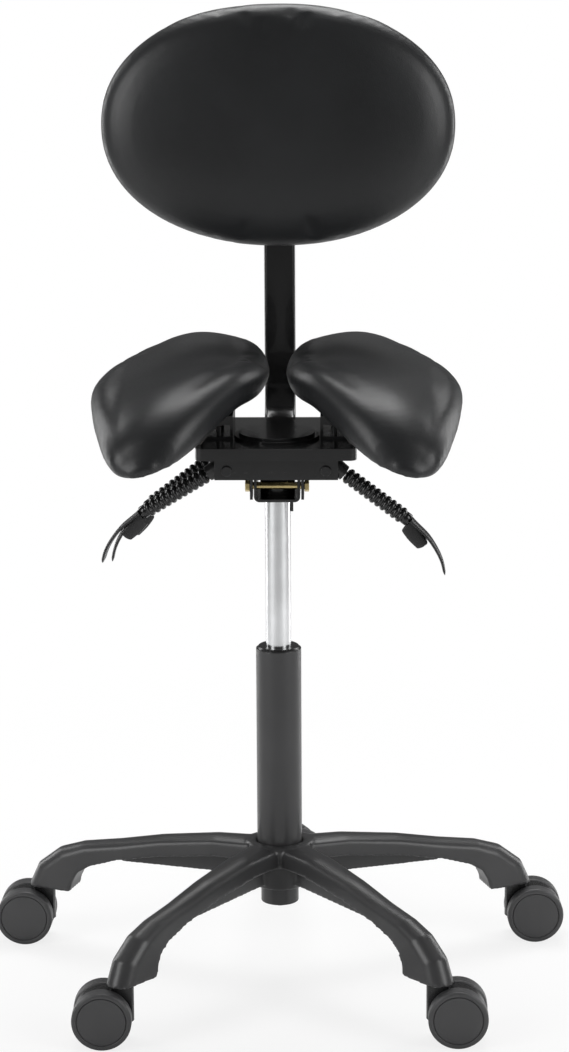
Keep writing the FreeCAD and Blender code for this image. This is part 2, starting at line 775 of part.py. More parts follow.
def seat_slices():
    """The slices in real sizes: they widen with the seat's width and rise with it."""
    inner_edge = min(row[1] for row in SEAT_SLICES)
    span = max(row[2] for row in SEAT_SLICES) - inner_edge
    stretch = value("cushion_width") / span
    gap = value("seat_gap") / 2
    lift = value("plate_top") + value("cushion_rise") - 615
    rows = []
    for along, inner, outer, foot_in, foot_out, crest in SEAT_SLICES:
        rows.append((along, gap + (inner - inner_edge) * stretch, gap + (outer - inner_edge) * stretch,
                     foot_in + lift, foot_out + lift, crest + lift))
    return rows


def cushion_slice(along, inner, outer, foot_in, foot_out, crest):
    """A slice of padding: a flat foot drawn in, two bulging sides, a crowned top."""
    tuck = 0.16 * (outer - inner)
    rise = crest - (foot_in + foot_out) / 2
    foot_a = Vector(inner + tuck, along, foot_in)
    foot_b = Vector(outer - tuck, along, foot_out)
    side_a = Vector(inner, along, foot_in + 0.42 * rise)
    side_b = Vector(outer, along, foot_out + 0.42 * rise)
    top_a = Vector(inner + tuck, along, foot_in + 0.85 * rise)
    top_b = Vector(outer - tuck, along, foot_out + 0.85 * rise)
    middle = Vector((inner + outer) / 2, along, crest)
    return Part.Wire([
        Part.makeLine(foot_a, foot_b),
        Part.Arc(foot_b, side_b, top_b).toShape(),
        Part.Arc(top_b, middle, top_a).toShape(),
        Part.Arc(top_a, side_a, foot_a).toShape(),
    ])


def board_slice(along, inner, outer, foot_in, foot_out, depth):
    """A slice of the moulded board, just under the padding's foot."""
    tuck = 0.16 * (outer - inner) + value("board_inset") * 0.25
    gap = value("loose_gap")
    a = Vector(inner + tuck, along, foot_in - gap)
    b = Vector(outer - tuck, along, foot_out - gap)
    down = Vector(0, 0, -depth)
    return Part.makePolygon([a, b, b + down, a + down, a])


def make_seat():
    """Each half: a bracket on the plate, a moulded board, and its cushion."""
    rows = seat_slices()
    padding = Part.makeLoft([cushion_slice(*row) for row in rows], True, False)
    held = rows[3:-2]
    depth = value("board_thickness")
    board = Part.makeLoft([board_slice(*row[:5], depth) for row in held], True, True)
    shanks = joined("board_holes", seat_screw_shanks("board", "board_screw_radius"))
    brackets = slab("bracket_outside", "XZ_Plane", [
        ("bracket_inner", "plate_top"), ("bracket_outer", "plate_top"),
        ("bracket_outer", "plate_top + 22"), ("bracket_inner", "plate_top + 26"),
    ], "bracket_length")
    room = slab("bracket_inside", "XZ_Plane", [
        ("bracket_inner + bracket_wall", "plate_top + bracket_wall"),
        ("bracket_outer - bracket_wall", "plate_top + bracket_wall"),
        ("bracket_outer - bracket_wall", "plate_top + 13"),
        ("bracket_inner + bracket_wall", "plate_top + 16"),
    ], "bracket_length + 2")
    put(brackets, y="bracket_centre_y")
    put(room, y="bracket_centre_y")
    blank = cut("bracket_blank", brackets, room)
    right_cushion = shaped("cushion_form", padding)
    right_board = cut("board_under", shaped("board_form", board), right_cushion)
    raised = board.copy()
    raised.translate(Vector(0, 0, depth * 0.8))
    right_bracket = cut("bracket_trimmed", cut("bracket_topped", blank, right_board),
                        shaped("board_above", raised))
    for name, form in (("saddle_bracket", right_bracket), ("seat_board", right_board)):
        keep(cut(f"{name}_right_holed", form, shanks), f"{name}_right")
        mirrored = add("Part::Mirroring", f"{name}_other")
        mirrored.Source = form
        mirrored.Normal = Vector(1, 0, 0)
        keep(cut(f"{name}_left_holed", mirrored, shanks), f"{name}_left")
    keep(right_cushion, "seat_cushion_right")
    left_cushion = add("Part::Mirroring", "cushion_other")
    left_cushion.Source = right_cushion
    left_cushion.Normal = Vector(1, 0, 0)
    keep(left_cushion, "seat_cushion_left")


# Each lever: its name, its side, its place and height, its turn about Z, its slope.
LEVERS = (
    ("height_lever", 1, "lever_front_y", "lever_height", "0", "lever_slope"),
    ("tilt_lever", -1, "lever_front_y", "lever_height", "-lever_yaw", "lever_slope - lever_lift"),
    ("back_lever", -1, "lever_rear_y", "lever_rear_height", "0", "lever_slope"),
)


def lever_place(side, along, height, yaw, slope):
    """The placement of a lever built along +X, which then slopes down and out."""
    heading = value(yaw) if side > 0 else 180 + value(yaw)
    dip = Rotation(Vector(0, 1, 0), value(slope))
    spot = Vector(side * value("lever_side_x"), value(along), value(height))
    return Placement(spot, Rotation(Vector(0, 0, 1), heading) * dip)


def lever_rooms(owner):
    """Clear holes where the levers' rods pass through their end walls."""
    rooms = []
    for name, *where in LEVERS:
        room = rod(f"{owner}_room_{name}", "lever_rod_radius + lever_bush_room + 0.4",
                   "lever_rod_tail + 4", axis=(0, 1, 0), turn=90)
        room.setExpression("Placement.Base.x", named("-lever_rod_tail - 2"))
        carrier = group(f"{owner}_room_at_{name}", [room])
        carrier.Placement = lever_place(*where)
        rooms.append(carrier)
    return rooms


def bellows_form():
    """A ribbed sleeve along +X: two circles up and two down for each rib, and a bore."""
    valley = value("bellows_valley_radius")
    crest = value("bellows_radius")
    pitch = value("bellows_pitch")
    start = value("lever_gap")
    ribs = int(round(value("bellows_ribs")))
    stations = [(start, valley)]
    for index in range(ribs):
        foot = start + 1 + index * pitch
        stations += [(foot, valley), (foot + 0.18 * pitch, crest),
                     (foot + 0.55 * pitch, crest), (foot + 0.73 * pitch, valley)]
    end = start + 1 + ribs * pitch
    stations.append((end + value("bellows_collar"), valley))
    rings = [Part.Wire([Part.makeCircle(radius, Vector(x, 0, 0), Vector(1, 0, 0))])
             for x, radius in stations]
    return Part.makeLoft(rings, True, True), end + value("bellows_collar")


def paddle_form(start):
    """A block on the rod's end and a blade that bends down beyond it, from the side."""
    blade = value("paddle_blade")
    wide = Vector(0, value("paddle_width"), 0)
    narrow = Vector(0, value("paddle_block_width"), 0)
    top = [Vector(start, 0, 5), Vector(start + 10, 0, 2.5), Vector(start + 45, 0, -6.5),
           Vector(start + 68, 0, -23)]
    low = [Vector(start + 65, 0, -26), Vector(start + 43, 0, -6.5 - blade),
           Vector(start + 9, 0, 2 - blade), Vector(start, 0, 2 - blade)]
    edges = [
        Part.makeLine(top[0], top[1]),
        Part.Arc(top[1], top[2], top[3]).toShape(),
        Part.makeLine(top[3], low[0]),
        Part.Arc(low[0], low[1], low[2]).toShape(),
        Part.makeLine(low[2], low[3]),
        Part.makeLine(low[3], top[0]),
    ]
    blade_solid = Part.Face(Part.Wire(edges)).extrude(wide)
    blade_solid.translate(wide * -0.5)
    corners = [Vector(start, 0, 4), Vector(start + 12, 0, 1), Vector(start + 30, 0, -6),
               Vector(start + 28, 0, -14), Vector(start + 24, 0, -19), Vector(start, 0, -14),
               Vector(start, 0, 4)]
    body = Part.Face(Part.makePolygon(corners)).extrude(narrow)
    body.translate(narrow * -0.5)
    return blade_solid.fuse(body).removeSplitter()


def make_levers():
    """Three levers: a steel rod, its ribbed sleeve, a paddle, and a bush on the seat."""
    bushes = []
    sleeve, end = bellows_form()
    for name, *where in LEVERS:
        place = lever_place(*where)
        tail = "lever_rod_tail"
        shaft = rod(f"{name}_shaft", "lever_rod_radius", f"lever_rod_reach + {tail}",
                    x=f"-{tail}", axis=(0, 1, 0), turn=90)
        shaft_place = group(f"{name}_shaft_placed", [shaft])
        shaft_place.Placement = place
        if name == "height_lever":
            tail_end = place.multVec(Vector(-value(tail) + 3, 0, 0))
            finger = finger_form(tail_end)
            shaft_place = joined(f"{name}_shaft_whole", [shaft_place, shaped("finger", finger)])
        keep(shaft_place, f"{name}_rod")
        bore = rod(f"{name}_bore", "lever_rod_radius", "200", x="-10", axis=(0, 1, 0), turn=90)
        sleeve_piece = cut(f"{name}_sleeve", shaped(f"{name}_ribs", sleeve), bore)
        sleeve_piece.Placement = place
        keep(sleeve_piece, f"{name}_bellows")
        paddle = cut(f"{name}_grip", shaped(f"{name}_grip_form", paddle_form(end)), shaft)
        paddle.Placement = place
        keep(paddle, f"{name}_paddle")
        cone = put(add("Part::Cone", f"{name}_cone", Radius1="lever_bush_root_radius",
                       Radius2="lever_bush_tip_radius", Height="lever_bush_length"),
                   x="-lever_bush_length", axis=(0, 1, 0), turn=90)
        hole = rod(f"{name}_hole", "lever_rod_radius + lever_bush_room", "lever_bush_length + 2",
                   x="-lever_bush_length - 1", axis=(0, 1, 0), turn=90)
        bush = cut(f"{name}_bush_form", cone, hole)
        bush.Placement = place
        wall = block(f"{name}_inside", "channel_length", 80, 60, "-channel_length / 2",
                     f"{where[1]} - 40", "lever_height - 30")
        bushes.append(cut(f"{name}_bush", bush, wall))
    keep(group("bushes", bushes), "lever_bushes")


def finger_form(tail):
    """The height lever's inner finger, from the rod's tail to over the valve pin."""
    height = value("finger_height")
    radius = value("finger_radius")
    knee = Vector(tail.x * 0.42, tail.y * 0.92, height)
    stop = Vector(0, 0, height)
    runs = []
    for begin, finish in ((tail, knee), (knee, stop)):
        run = finish - begin
        runs.append(Part.makeCylinder(radius, run.Length, begin, run))
    balls = [Part.makeSphere(radius, spot) for spot in (tail, knee, stop)]
    whole = runs[0].fuse([runs[1]] + balls)
    return whole


def make_back_arm():
    """The rear bracket on its pin, and the flat bar that bends up behind the seat."""
    inner = "back_ear_side - ear_gap"
    body = block("back_block", f"2 * ({inner})", "back_bracket_length", "bar_thickness + 2 * back_bracket_wall",
                 f"-({inner})", "back_pivot_y - 12", "bar_run_height - bar_thickness / 2 - back_bracket_wall")
    slot = block("back_slot", "bar_width", "back_bracket_length + 20", "bar_thickness",
                 "-bar_width / 2", "back_pivot_y + 8", "bar_run_height - bar_thickness / 2")
    pin_hole = rod("back_pin_hole", "back_pivot_radius + running_gap", "100", x="-50",
                   y="back_pivot_y", z="back_pivot_height", axis=(0, 1, 0), turn=90)
    keep(cut("back_bracket_whole", cut("back_bracket_slotted", body, slot), pin_hole), "back_bracket")
    half = "(back_ear_side + ear_thickness + 1)"
    keep(rod("back_pin", "back_pivot_radius", f"2 * {half}", x=f"-{half}", y="back_pivot_y",
             z="back_pivot_height", axis=(0, 1, 0), turn=90), "back_pivot_pin")
    keep(make_bar(), "back_bar")


def make_bar():
    """The flat bar: a level run, a quarter bend and an upright, with rounded edges."""
    half = value("bar_thickness") / 2
    bend = value("bar_bend")
    start = value("back_pivot_y") + 8
    level = value("bar_run_height")
    upright = value("bar_y")
    top = value("bar_top")
    corner = Vector(0, upright - bend, level + bend)
    root = math.sqrt(0.5)
    edges = []
    ends = []
    for reach, sign in ((bend + half, 1), (bend - half, -1)):
        a = Vector(0, start, level - sign * half)
        b = Vector(0, upright - bend, level - sign * half)
        middle = corner + Vector(0, reach * root, -reach * root)
        c = Vector(0, upright + sign * half, level + bend)
        d = Vector(0, upright + sign * half, top)
        edges += [Part.makeLine(a, b), Part.Arc(b, middle, c).toShape(), Part.makeLine(c, d)]
        ends.append((a, d))
    edges += [Part.makeLine(ends[0][0], ends[1][0]), Part.makeLine(ends[0][1], ends[1][1])]
    wire = Part.Wire(Part.__sortEdges__(edges))
    width = value("bar_width")
    solid = Part.Face(wire).extrude(Vector(width, 0, 0))
    solid.translate(Vector(-width / 2, 0, 0))
    flat = shaped("bar_form", solid)
    sides = width / 2 - 0.01
    return rounded("bar_rounded", flat, "bar_edge", lambda edge: follows_bar(edge, sides))


def follows_bar(edge, side):
    """Whether an edge lies on one of the bar's flanks and runs along it."""
    box = edge.BoundBox
    on_flank = min(abs(box.XMin), abs(box.XMax)) > side
    return on_flank and edge.Length > value("bar_thickness") + 0.1


def oval_wire(along, width, height):
    """An upright oval of eight arcs, its corners a little fuller than an ellipse's."""
    middle = value("back_centre_height")
    power = 2 / 2.12

    def spot(step):
        across = math.cos(step * math.pi / 8)
        up = math.sin(step * math.pi / 8)
        return Vector(width / 2 * math.copysign(abs(across) ** power, across), along,
                      middle + height / 2 * math.copysign(abs(up) ** power, up))

    steps = range(0, 16, 2)
    return Part.Wire([Part.Arc(spot(step), spot(step + 1), spot(step + 2)).toShape() for step in steps])


def make_backrest():
    """The oval pad on its board, the clamp that slides on the bar, and its screws."""
    width = value("back_width")
    height = value("back_height")
    front = value("back_front")
    rear = value("clamp_front") - value("back_board_thickness") - value("loose_gap")
    deep = rear - front
    slices = ((0, 0.42), (0.06, 0.66), (0.2, 0.88), (0.42, 0.985), (0.6, 1), (0.84, 0.985), (1, 0.93))
    rings = []
    for depth, share in slices:
        drawn = (1 - share) * height
        rings.append(oval_wire(front + depth * deep, width - drawn, height - drawn))
    keep(shaped("back_padding", Part.makeLoft(rings, True, False)), "back_cushion")
    thick = value("back_board_thickness")
    inset = 2 * value("back_board_inset")
    face = Part.Face(oval_wire(rear + value("loose_gap"), width - inset, height - inset))
    shanks = []
    for side, end, label in screw_places():
        shanks.append(rod(f"back_shank_{label}", "back_screw_radius", "back_screw_length",
                          x=f"back_screw_side * {side}",
                          y="clamp_front + clamp_wall",
                          z=f"clamp_foot + clamp_height / 2 + (clamp_height / 2 - 9) * {end}",
                          axis=(1, 0, 0), turn=90))
    holes = joined("back_holes", shanks)
    keep(cut("back_board_holed", shaped("back_board_form", face.extrude(Vector(0, thick, 0))), holes),
         "back_board")
    make_clamp(holes)
    screws = []
    for shank, (side, end, label) in zip(shanks, screw_places()):
        head = rod(f"back_cap_{label}", "screw_head_radius", "screw_head_height",
                   x=f"back_screw_side * {side}", y="clamp_front + clamp_wall + screw_head_height",
                   z=f"clamp_foot + clamp_height / 2 + (clamp_height / 2 - 9) * {end}",
                   axis=(1, 0, 0), turn=90)
        screws.append(joined(f"back_screw_{label}", [shank, head]))
    keep(group("back_screw_set", screws), "back_screws")


def make_clamp(holes):
    """A flange on the board and a sleeve round the bar, with a threaded boss for the knob."""
    half = "bar_thickness / 2 + clamp_gap"
    rear = f"bar_y + {half} + clamp_wall"
    flange = block("clamp_flange", "clamp_width", "clamp_wall", "clamp_height",
                   "-clamp_width / 2", "clamp_front", "clamp_foot")
    sleeve = block("clamp_sleeve", "bar_width + 2 * clamp_gap + 2 * clamp_wall",
                   f"{rear} - clamp_front", "clamp_height",
                   "-(bar_width / 2 + clamp_gap + clamp_wall)", "clamp_front", "clamp_foot")
    slot = block("clamp_slot", "bar_width + 2 * clamp_gap", "bar_thickness + 2 * clamp_gap",
                 "clamp_height + 2", "-bar_width / 2 - clamp_gap", f"bar_y - ({half})",
                 "clamp_foot - 1")
    boss = rod("clamp_boss", "knob_stud_radius + 5", "6", y=f"{rear} + 5", z="knob_height",
               axis=(1, 0, 0), turn=90)
    thread = rod("clamp_thread", "knob_stud_radius + running_gap", "60", y=f"{rear} + 30",
                 z="knob_height", axis=(1, 0, 0), turn=90)
    thread_end = "bar_y + bar_thickness / 2"
    thread.setExpression("Height", named(f"{rear} + 30 - {thread_end}"))
    blank = joined("clamp_blank", [flange, sleeve, boss])
    bored = cut("clamp_bored", cut("clamp_slotted", blank, slot), thread)
    keep(cut("clamp_whole", bored, holes), "back_clamp")
    stud_start = f"{thread_end} + loose_gap"
    knob_start = f"{rear} + 5 + loose_gap"
    stud = rod("knob_stud", "knob_stud_radius", f"{knob_start} + 2 - ({stud_start})",
               y=f"{knob_start} + 2", z="knob_height", axis=(1, 0, 0), turn=90)
    grip = rod("knob_grip", "knob_radius", "knob_length", y=f"{knob_start} + knob_length",
               z="knob_height", axis=(1, 0, 0), turn=90)
    flutes = []
    count = 6
    for index in range(count):
        angle = 2 * math.pi * index / count
        flutes.append(rod(f"flute_{index}", "knob_radius * 0.26", "knob_length + 2",
                          x=f"knob_radius * {1.12 * math.cos(angle):.6f}",
                          y=f"{knob_start} + knob_length + 1",
                          z=f"knob_height + knob_radius * {1.12 * math.sin(angle):.6f}",
                          axis=(1, 0, 0), turn=90))
    lobed = cut("knob_lobed", grip, joined("knob_flutes", flutes))
    keep(joined("knob_whole", [stud, lobed]), "back_knob")


def check_and_write():
    """Stop on any failed object or bad shape, then write one file for each piece."""
    doc.recompute()
    failed = [item.Name for item in doc.Objects if {"Invalid", "Error"} & set(item.State)]
    if failed:
        raise RuntimeError(f"failed objects: {failed}")
    for piece in nodes:
        shape = piece.Shape
        if shape.isNull() or not shape.isValid() or not shape.Solids:
            raise RuntimeError(f"{piece.Label} has no valid solid")
    os.makedirs("parts", exist_ok=True)
    for piece in nodes:
        piece.Shape.exportStep(f"parts/{piece.Label}.step")
        print(piece.Label, len(piece.Shape.Solids), round(piece.Shape.Volume))


make_base()
make_castors()
make_column()
make_hub_bracket()
make_seat_plate()
make_cross_channel()
make_seat_screws()
make_seat()
make_levers()
make_back_arm()
make_backrest()
check_and_write()
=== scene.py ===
import json
import math

import bmesh
import bpy
import numpy as np
from mathutils import Matrix, Vector

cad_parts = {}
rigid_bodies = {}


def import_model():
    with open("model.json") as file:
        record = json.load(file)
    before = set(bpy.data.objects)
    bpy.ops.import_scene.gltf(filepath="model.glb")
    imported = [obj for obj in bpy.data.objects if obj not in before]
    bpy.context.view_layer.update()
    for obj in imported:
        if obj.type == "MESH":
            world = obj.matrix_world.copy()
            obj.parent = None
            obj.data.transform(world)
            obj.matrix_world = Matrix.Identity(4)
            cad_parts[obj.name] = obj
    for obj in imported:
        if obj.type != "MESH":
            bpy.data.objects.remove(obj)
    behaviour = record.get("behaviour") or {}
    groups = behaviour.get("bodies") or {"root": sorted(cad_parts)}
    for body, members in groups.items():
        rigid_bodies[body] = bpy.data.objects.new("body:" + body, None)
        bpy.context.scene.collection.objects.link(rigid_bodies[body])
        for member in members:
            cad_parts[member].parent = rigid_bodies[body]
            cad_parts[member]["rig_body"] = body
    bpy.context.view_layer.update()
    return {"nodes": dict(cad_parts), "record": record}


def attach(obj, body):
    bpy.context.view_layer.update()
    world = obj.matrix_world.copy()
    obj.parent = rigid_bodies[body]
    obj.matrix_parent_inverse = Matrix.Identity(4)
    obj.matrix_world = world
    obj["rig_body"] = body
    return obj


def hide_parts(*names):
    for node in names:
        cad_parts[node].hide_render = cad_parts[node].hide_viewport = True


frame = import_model()

bl_info = {
    "name": "Saddle stool",
    "version": (1, 0, 0),
    "blender": (4, 5, 0),
    "location": "View3D > Sidebar > Stool",
    "description": "Builds a split saddle stool over its construction frame",
    "category": "Object",
}

# Metres throughout, +Z up, the sitter faces -Y. Sizes in mm are turned by MM.
MM = 0.001
NODES = frame["nodes"]
SLOT_OF = {row["node"]: row["material_slot"] for row in frame["record"]["subparts"]}


# ---------------------------------------------------------------- materials

class Signal:
    """A shader socket that takes part in sums, so that a formula reads as one."""

    def __init__(self, recipe, socket):
        self.recipe = recipe
        self.socket = socket

    def sum(self, kind, *others, flipped=False):
        """A Math node of this kind over the signal and the others."""
        inputs = [self, *others]
        if flipped:
            inputs.reverse()
        return self.recipe.make("ShaderNodeMath", {"operation": kind}, dict(enumerate(inputs)))

    def __add__(self, other):
        return self.sum("ADD", other)

    def __radd__(self, other):
        return self.sum("ADD", other)

    def __sub__(self, other):
        return self.sum("SUBTRACT", other)

    def __rsub__(self, other):
        return self.sum("SUBTRACT", other, flipped=True)

    def __mul__(self, other):
        return self.sum("MULTIPLY", other)

    def __rmul__(self, other):
        return self.sum("MULTIPLY", other)

    def between(self, low, high):
        """0 at low, 1 at high, eased between them."""
        settings = {"interpolation_type": "SMOOTHSTEP"}
        return self.recipe.make("ShaderNodeMapRange", settings, {0: self, 1: low, 2: high})


class Recipe:
    """One material: its tree, its Principled shader and a way to add any node."""

    def __init__(self, name):
        self.material = bpy.data.materials.new(name)
        self.material.use_nodes = True
        self.tree = self.material.node_tree
        self.shader = self.tree.nodes["Principled BSDF"]

    def make(self, kind, settings=None, inputs=None, output=0):
        """A node of this kind: its settings first, then its inputs."""
        node = self.tree.nodes.new(kind)
        for name, item in (settings or {}).items():
            setattr(node, name, item)
        for name, item in (inputs or {}).items():
            self.feed(node.inputs[name], item)
        return Signal(self, node.outputs[output])

    def feed(self, socket, item):
        """Link a signal to a socket, or set the socket to a constant."""
        if isinstance(item, Signal):
            self.tree.links.new(item.socket, socket)
        else:
            socket.default_value = item

    def place(self, stretch=(1, 1, 1)):
        """Object coordinates in metres, stretched along the axes."""
        spot = self.make("ShaderNodeTexCoord", output="Object")
        return self.make("ShaderNodeMapping", None, {"Vector": spot, "Scale": stretch})

    def noise(self, scale, detail=3.0, stretch=(1, 1, 1)):
        """Smooth noise from 0 to 1 whose features are about 1 / scale metres."""
        inputs = {"Vector": self.place(stretch), "Scale": scale, "Detail": detail}
        return self.make("ShaderNodeTexNoise", None, inputs)

    def cells(self, scale, feature="F1"):
        """Distance to the nearest of many points, about 1 / scale metres apart."""
        inputs = {"Vector": self.place(), "Scale": scale}
        return self.make("ShaderNodeTexVoronoi", {"feature": feature}, inputs)

    def blend(self, share, first, second):
        """A colour that goes from first to second with share."""
        inputs = {0: share, 6: first, 7: second}
        return self.make("ShaderNodeMix", {"data_type": "RGBA"}, inputs, output=2)

    def relief(self, height, depth, strength=1.0):
        """A bumped normal where height 1 stands depth metres over height 0."""
        inputs = {"Height": height, "Distance": depth, "Strength": strength}
        return self.make("ShaderNodeBump", None, inputs)

    def worn(self):
        """1 along outward edges, 0 elsewhere, broken up a little."""
        edge = self.make("ShaderNodeNewGeometry", output="Pointiness").between(0.53, 0.6)
        return edge * self.noise(140.0).between(0.35, 0.7)

    def finish(self, **inputs):
        """Set the shader's own sockets by name, with underscores for spaces."""
        for name, item in inputs.items():
            self.feed(self.shader.inputs[name.replace("_", " ")], item)
        return self.material


def grey(level, tint=(1.0, 1.0, 1.0)):
    """A colour of one brightness, tinted."""
    return (*(level * part for part in tint), 1.0)


def moulded(name, level, roughness, grain, depth, wear=0.0, coat=0.0, tint=(1.0, 1.0, 1.03)):
    """Moulded plastic or paint: a fine grain, slow sheen changes, paler worn edges."""
    recipe = Recipe(name)
    fine = recipe.noise(grain, 4.0)
    slow = recipe.noise(9.0, 3.0)
    tone = recipe.blend(slow.between(0.3, 0.75), grey(level, tint), grey(level * 1.35, tint))
    if wear:
        tone = recipe.blend(recipe.worn() * wear, tone, grey(level * 4 + 0.03, tint))
    gloss = slow * 0.10 + fine * 0.06 + (roughness - 0.08)
    return recipe.finish(Base_Color=tone, Roughness=gloss, Coat_Weight=coat,
                         Normal=recipe.relief(fine, depth))


def metal(name, colour, roughness, stretch, grain=900.0, depth=0.00002):
    """Turned or ground metal: fine lines along one way and a slow change of gloss."""
    recipe = Recipe(name)
    lines = recipe.noise(grain, 2.0, stretch)
    slow = recipe.noise(30.0)
    darker = tuple(part * 0.82 for part in colour)
    tone = recipe.blend(slow.between(0.25, 0.8), (*darker, 1.0), (*colour, 1.0))
    gloss = lines * 0.12 + slow * 0.06 + (roughness - 0.09)
    return recipe.finish(Base_Color=tone, Roughness=gloss, Metallic=1.0,
                         Normal=recipe.relief(lines, depth))


def vinyl(name):
    """Coated cloth: pebbled grain of about a millimetre, a soft sheen, faint creases."""
    recipe = Recipe(name)
    pebble = recipe.cells(820.0, "SMOOTH_F1")
    pores = recipe.noise(2600.0, 2.0)
    slow = recipe.noise(7.0, 3.0)
    crease = recipe.noise(26.0, 4.0, (1.0, 0.35, 1.0))
    tone = recipe.blend(slow.between(0.3, 0.7), grey(0.008, (0.94, 1.0, 1.1)),
                        grey(0.012, (0.94, 1.0, 1.1)))
    gloss = slow * 0.1 + pebble * 0.12 + 0.31
    height = pebble * 0.8 + pores * 0.2
    soft = recipe.relief(crease, 0.0009, 0.5)
    bump = recipe.make("ShaderNodeBump", None, {
        "Height": height, "Distance": 0.00009, "Strength": 0.8, "Normal": soft})
    return recipe.finish(Base_Color=tone, Roughness=gloss, Specular_IOR_Level=0.5, Normal=bump)


def plywood(name):
    """Moulded board, stained black: fibres along the seat over thin layers."""
    recipe = Recipe(name)
    fibre = recipe.noise(420.0, 4.0, (1.0, 0.06, 1.0))
    layer = recipe.noise(60.0, 1.0, (0.03, 0.03, 9.0))
    share = fibre * 0.6 + layer * 0.4
    tone = recipe.blend(share.between(0.3, 0.7), (0.012, 0.011, 0.01, 1.0), (0.03, 0.027, 0.024, 1.0))
    return recipe.finish(Base_Color=tone, Roughness=fibre * 0.2 + 0.5,
                         Normal=recipe.relief(fibre, 0.00008))


def make_materials():
    """One procedural material for each slot of the part's record."""
    round_lines = (0.05, 0.05, 6.0)
    return {
        "base_black": moulded("base_black", 0.032, 0.36, 1500.0, 0.00005, wear=0.35),
        "steel": metal("steel", (0.6, 0.6, 0.61), 0.24, round_lines),
        "tube_black": moulded("tube_black", 0.034, 0.34, 1100.0, 0.00003, wear=0.2),
        "black_plastic": moulded("black_plastic", 0.012, 0.27, 1400.0, 0.00003, wear=0.15),
        "black_rubber": moulded("black_rubber", 0.008, 0.2, 900.0, 0.00003),
        "cylinder_grey": metal("cylinder_grey", (0.86, 0.87, 0.88), 0.2, round_lines),
        "steel_black": moulded("steel_black", 0.008, 0.22, 800.0, 0.00004, wear=0.2, coat=0.3),
        "zinc_bolt": metal("zinc_bolt", (0.62, 0.5, 0.24), 0.3, (1.0, 1.0, 1.0), 500.0),
        "screw_black": moulded("screw_black", 0.014, 0.3, 1500.0, 0.00003, wear=0.4),
        "board_wood": plywood("board_wood"),
        "black_vinyl": vinyl("black_vinyl"),
        "shell_plastic": moulded("shell_plastic", 0.014, 0.45, 1100.0, 0.00012, wear=0.1),
        "wheel_plastic": moulded("wheel_plastic", 0.043, 0.46, 1300.0, 0.00005, wear=0.25),
    }


MATERIALS = {}


# ----------------------------------------------------------------- surfaces

def shown(name, mesh, slot, body):
    """Link a finished mesh as a piece that rides on a body."""
    piece = bpy.data.objects.new(name, mesh)
    bpy.context.scene.collection.objects.link(piece)
    mesh.materials.clear()
    mesh.materials.append(MATERIALS[slot])
    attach(piece, body)
    return piece


def surface(name, grid, along=False, ends=True):
    """A mesh over a grid of points, in mm: rows along, columns around. The columns
    close on themselves, and so do the rows when along is set. Otherwise an end
    row is closed on its middle point where ends asks for it."""
    rows, columns = grid.shape[:2]
    points = grid.reshape(-1, 3) * MM
    row = np.arange(rows if along else rows - 1)[:, None]
    column = np.arange(columns)[None, :]
    after = (row + 1) % rows
    beside = (column + 1) % columns
    faces = np.stack([row * columns + column, row * columns + beside,
                      after * columns + beside, after * columns + column], -1)
    faces = faces.reshape(-1, 4).tolist()
    if ends and not along:
        for first in (0, (rows - 1) * columns):
            middle = len(points)
            points = np.vstack([points, points[first:first + columns].mean(0)])
            for step in range(columns):
                faces.append([first + step, first + (step + 1) % columns, middle])
    mesh = bpy.data.meshes.new(name)
    mesh.from_pydata(points, [], faces)
    tidy(mesh)
    return mesh


def tidy(mesh, flat=0.0):
    """Join corners that meet, drop inner edges of flat faces, face outward."""
    work = bmesh.new()
    work.from_mesh(mesh)
    bmesh.ops.remove_doubles(work, verts=work.verts, dist=0.01 * MM)
    if flat:
        bmesh.ops.dissolve_limit(work, angle_limit=flat, verts=work.verts, edges=work.edges)
    bmesh.ops.recalc_face_normals(work, faces=work.faces)
    work.to_mesh(mesh)
    work.free()
    mesh.shade_smooth()


def settled(piece):
    """Keep the evaluated form of a piece as its mesh, and drop its modifiers."""
    graph = bpy.context.evaluated_depsgraph_get()
    mesh = bpy.data.meshes.new_from_object(piece.evaluated_get(graph))
    piece.modifiers.clear()
    piece.data = mesh
    mesh.shade_smooth()


def copied(node, flat=0.0):
    """A joined copy of a construction piece's loose triangles."""
    mesh = NODES[node].data.copy()
    tidy(mesh, flat)
    return mesh


def softened(node, width=0.6, segments=3):
    """A copy of a construction piece whose sharp edges are rounded by width mm."""
    piece = shown(f"{node}_soft", copied(node, math.radians(0.8)), SLOT_OF[node],
                  NODES[node]["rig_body"])
    bevel = piece.modifiers.new("Rounded edges", "BEVEL")
    bevel.width = width * MM
    bevel.segments = segments
    bevel.limit_method = "ANGLE"
    bevel.angle_limit = math.radians(34)
    bevel.miter_outer = "MITER_ARC"
    even = piece.modifiers.new("Even shading", "WEIGHTED_NORMAL")
    even.keep_sharp = True
    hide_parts(node)
    return piece


def remeshed(node, voxel, rounds):
    """A copy of a construction piece on an even mesh, its edges worn round."""
    piece = shown(f"{node}_soft", copied(node), SLOT_OF[node], NODES[node]["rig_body"])
    even = piece.modifiers.new("Even mesh", "REMESH")
    even.mode = "VOXEL"
    even.voxel_size = voxel * MM
    round_off = piece.modifiers.new("Rounded edges", "SMOOTH")
    round_off.factor = 0.5
    round_off.iterations = rounds
    settled(piece)
    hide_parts(node)
    return piece


CLOTH_STEPS = 20


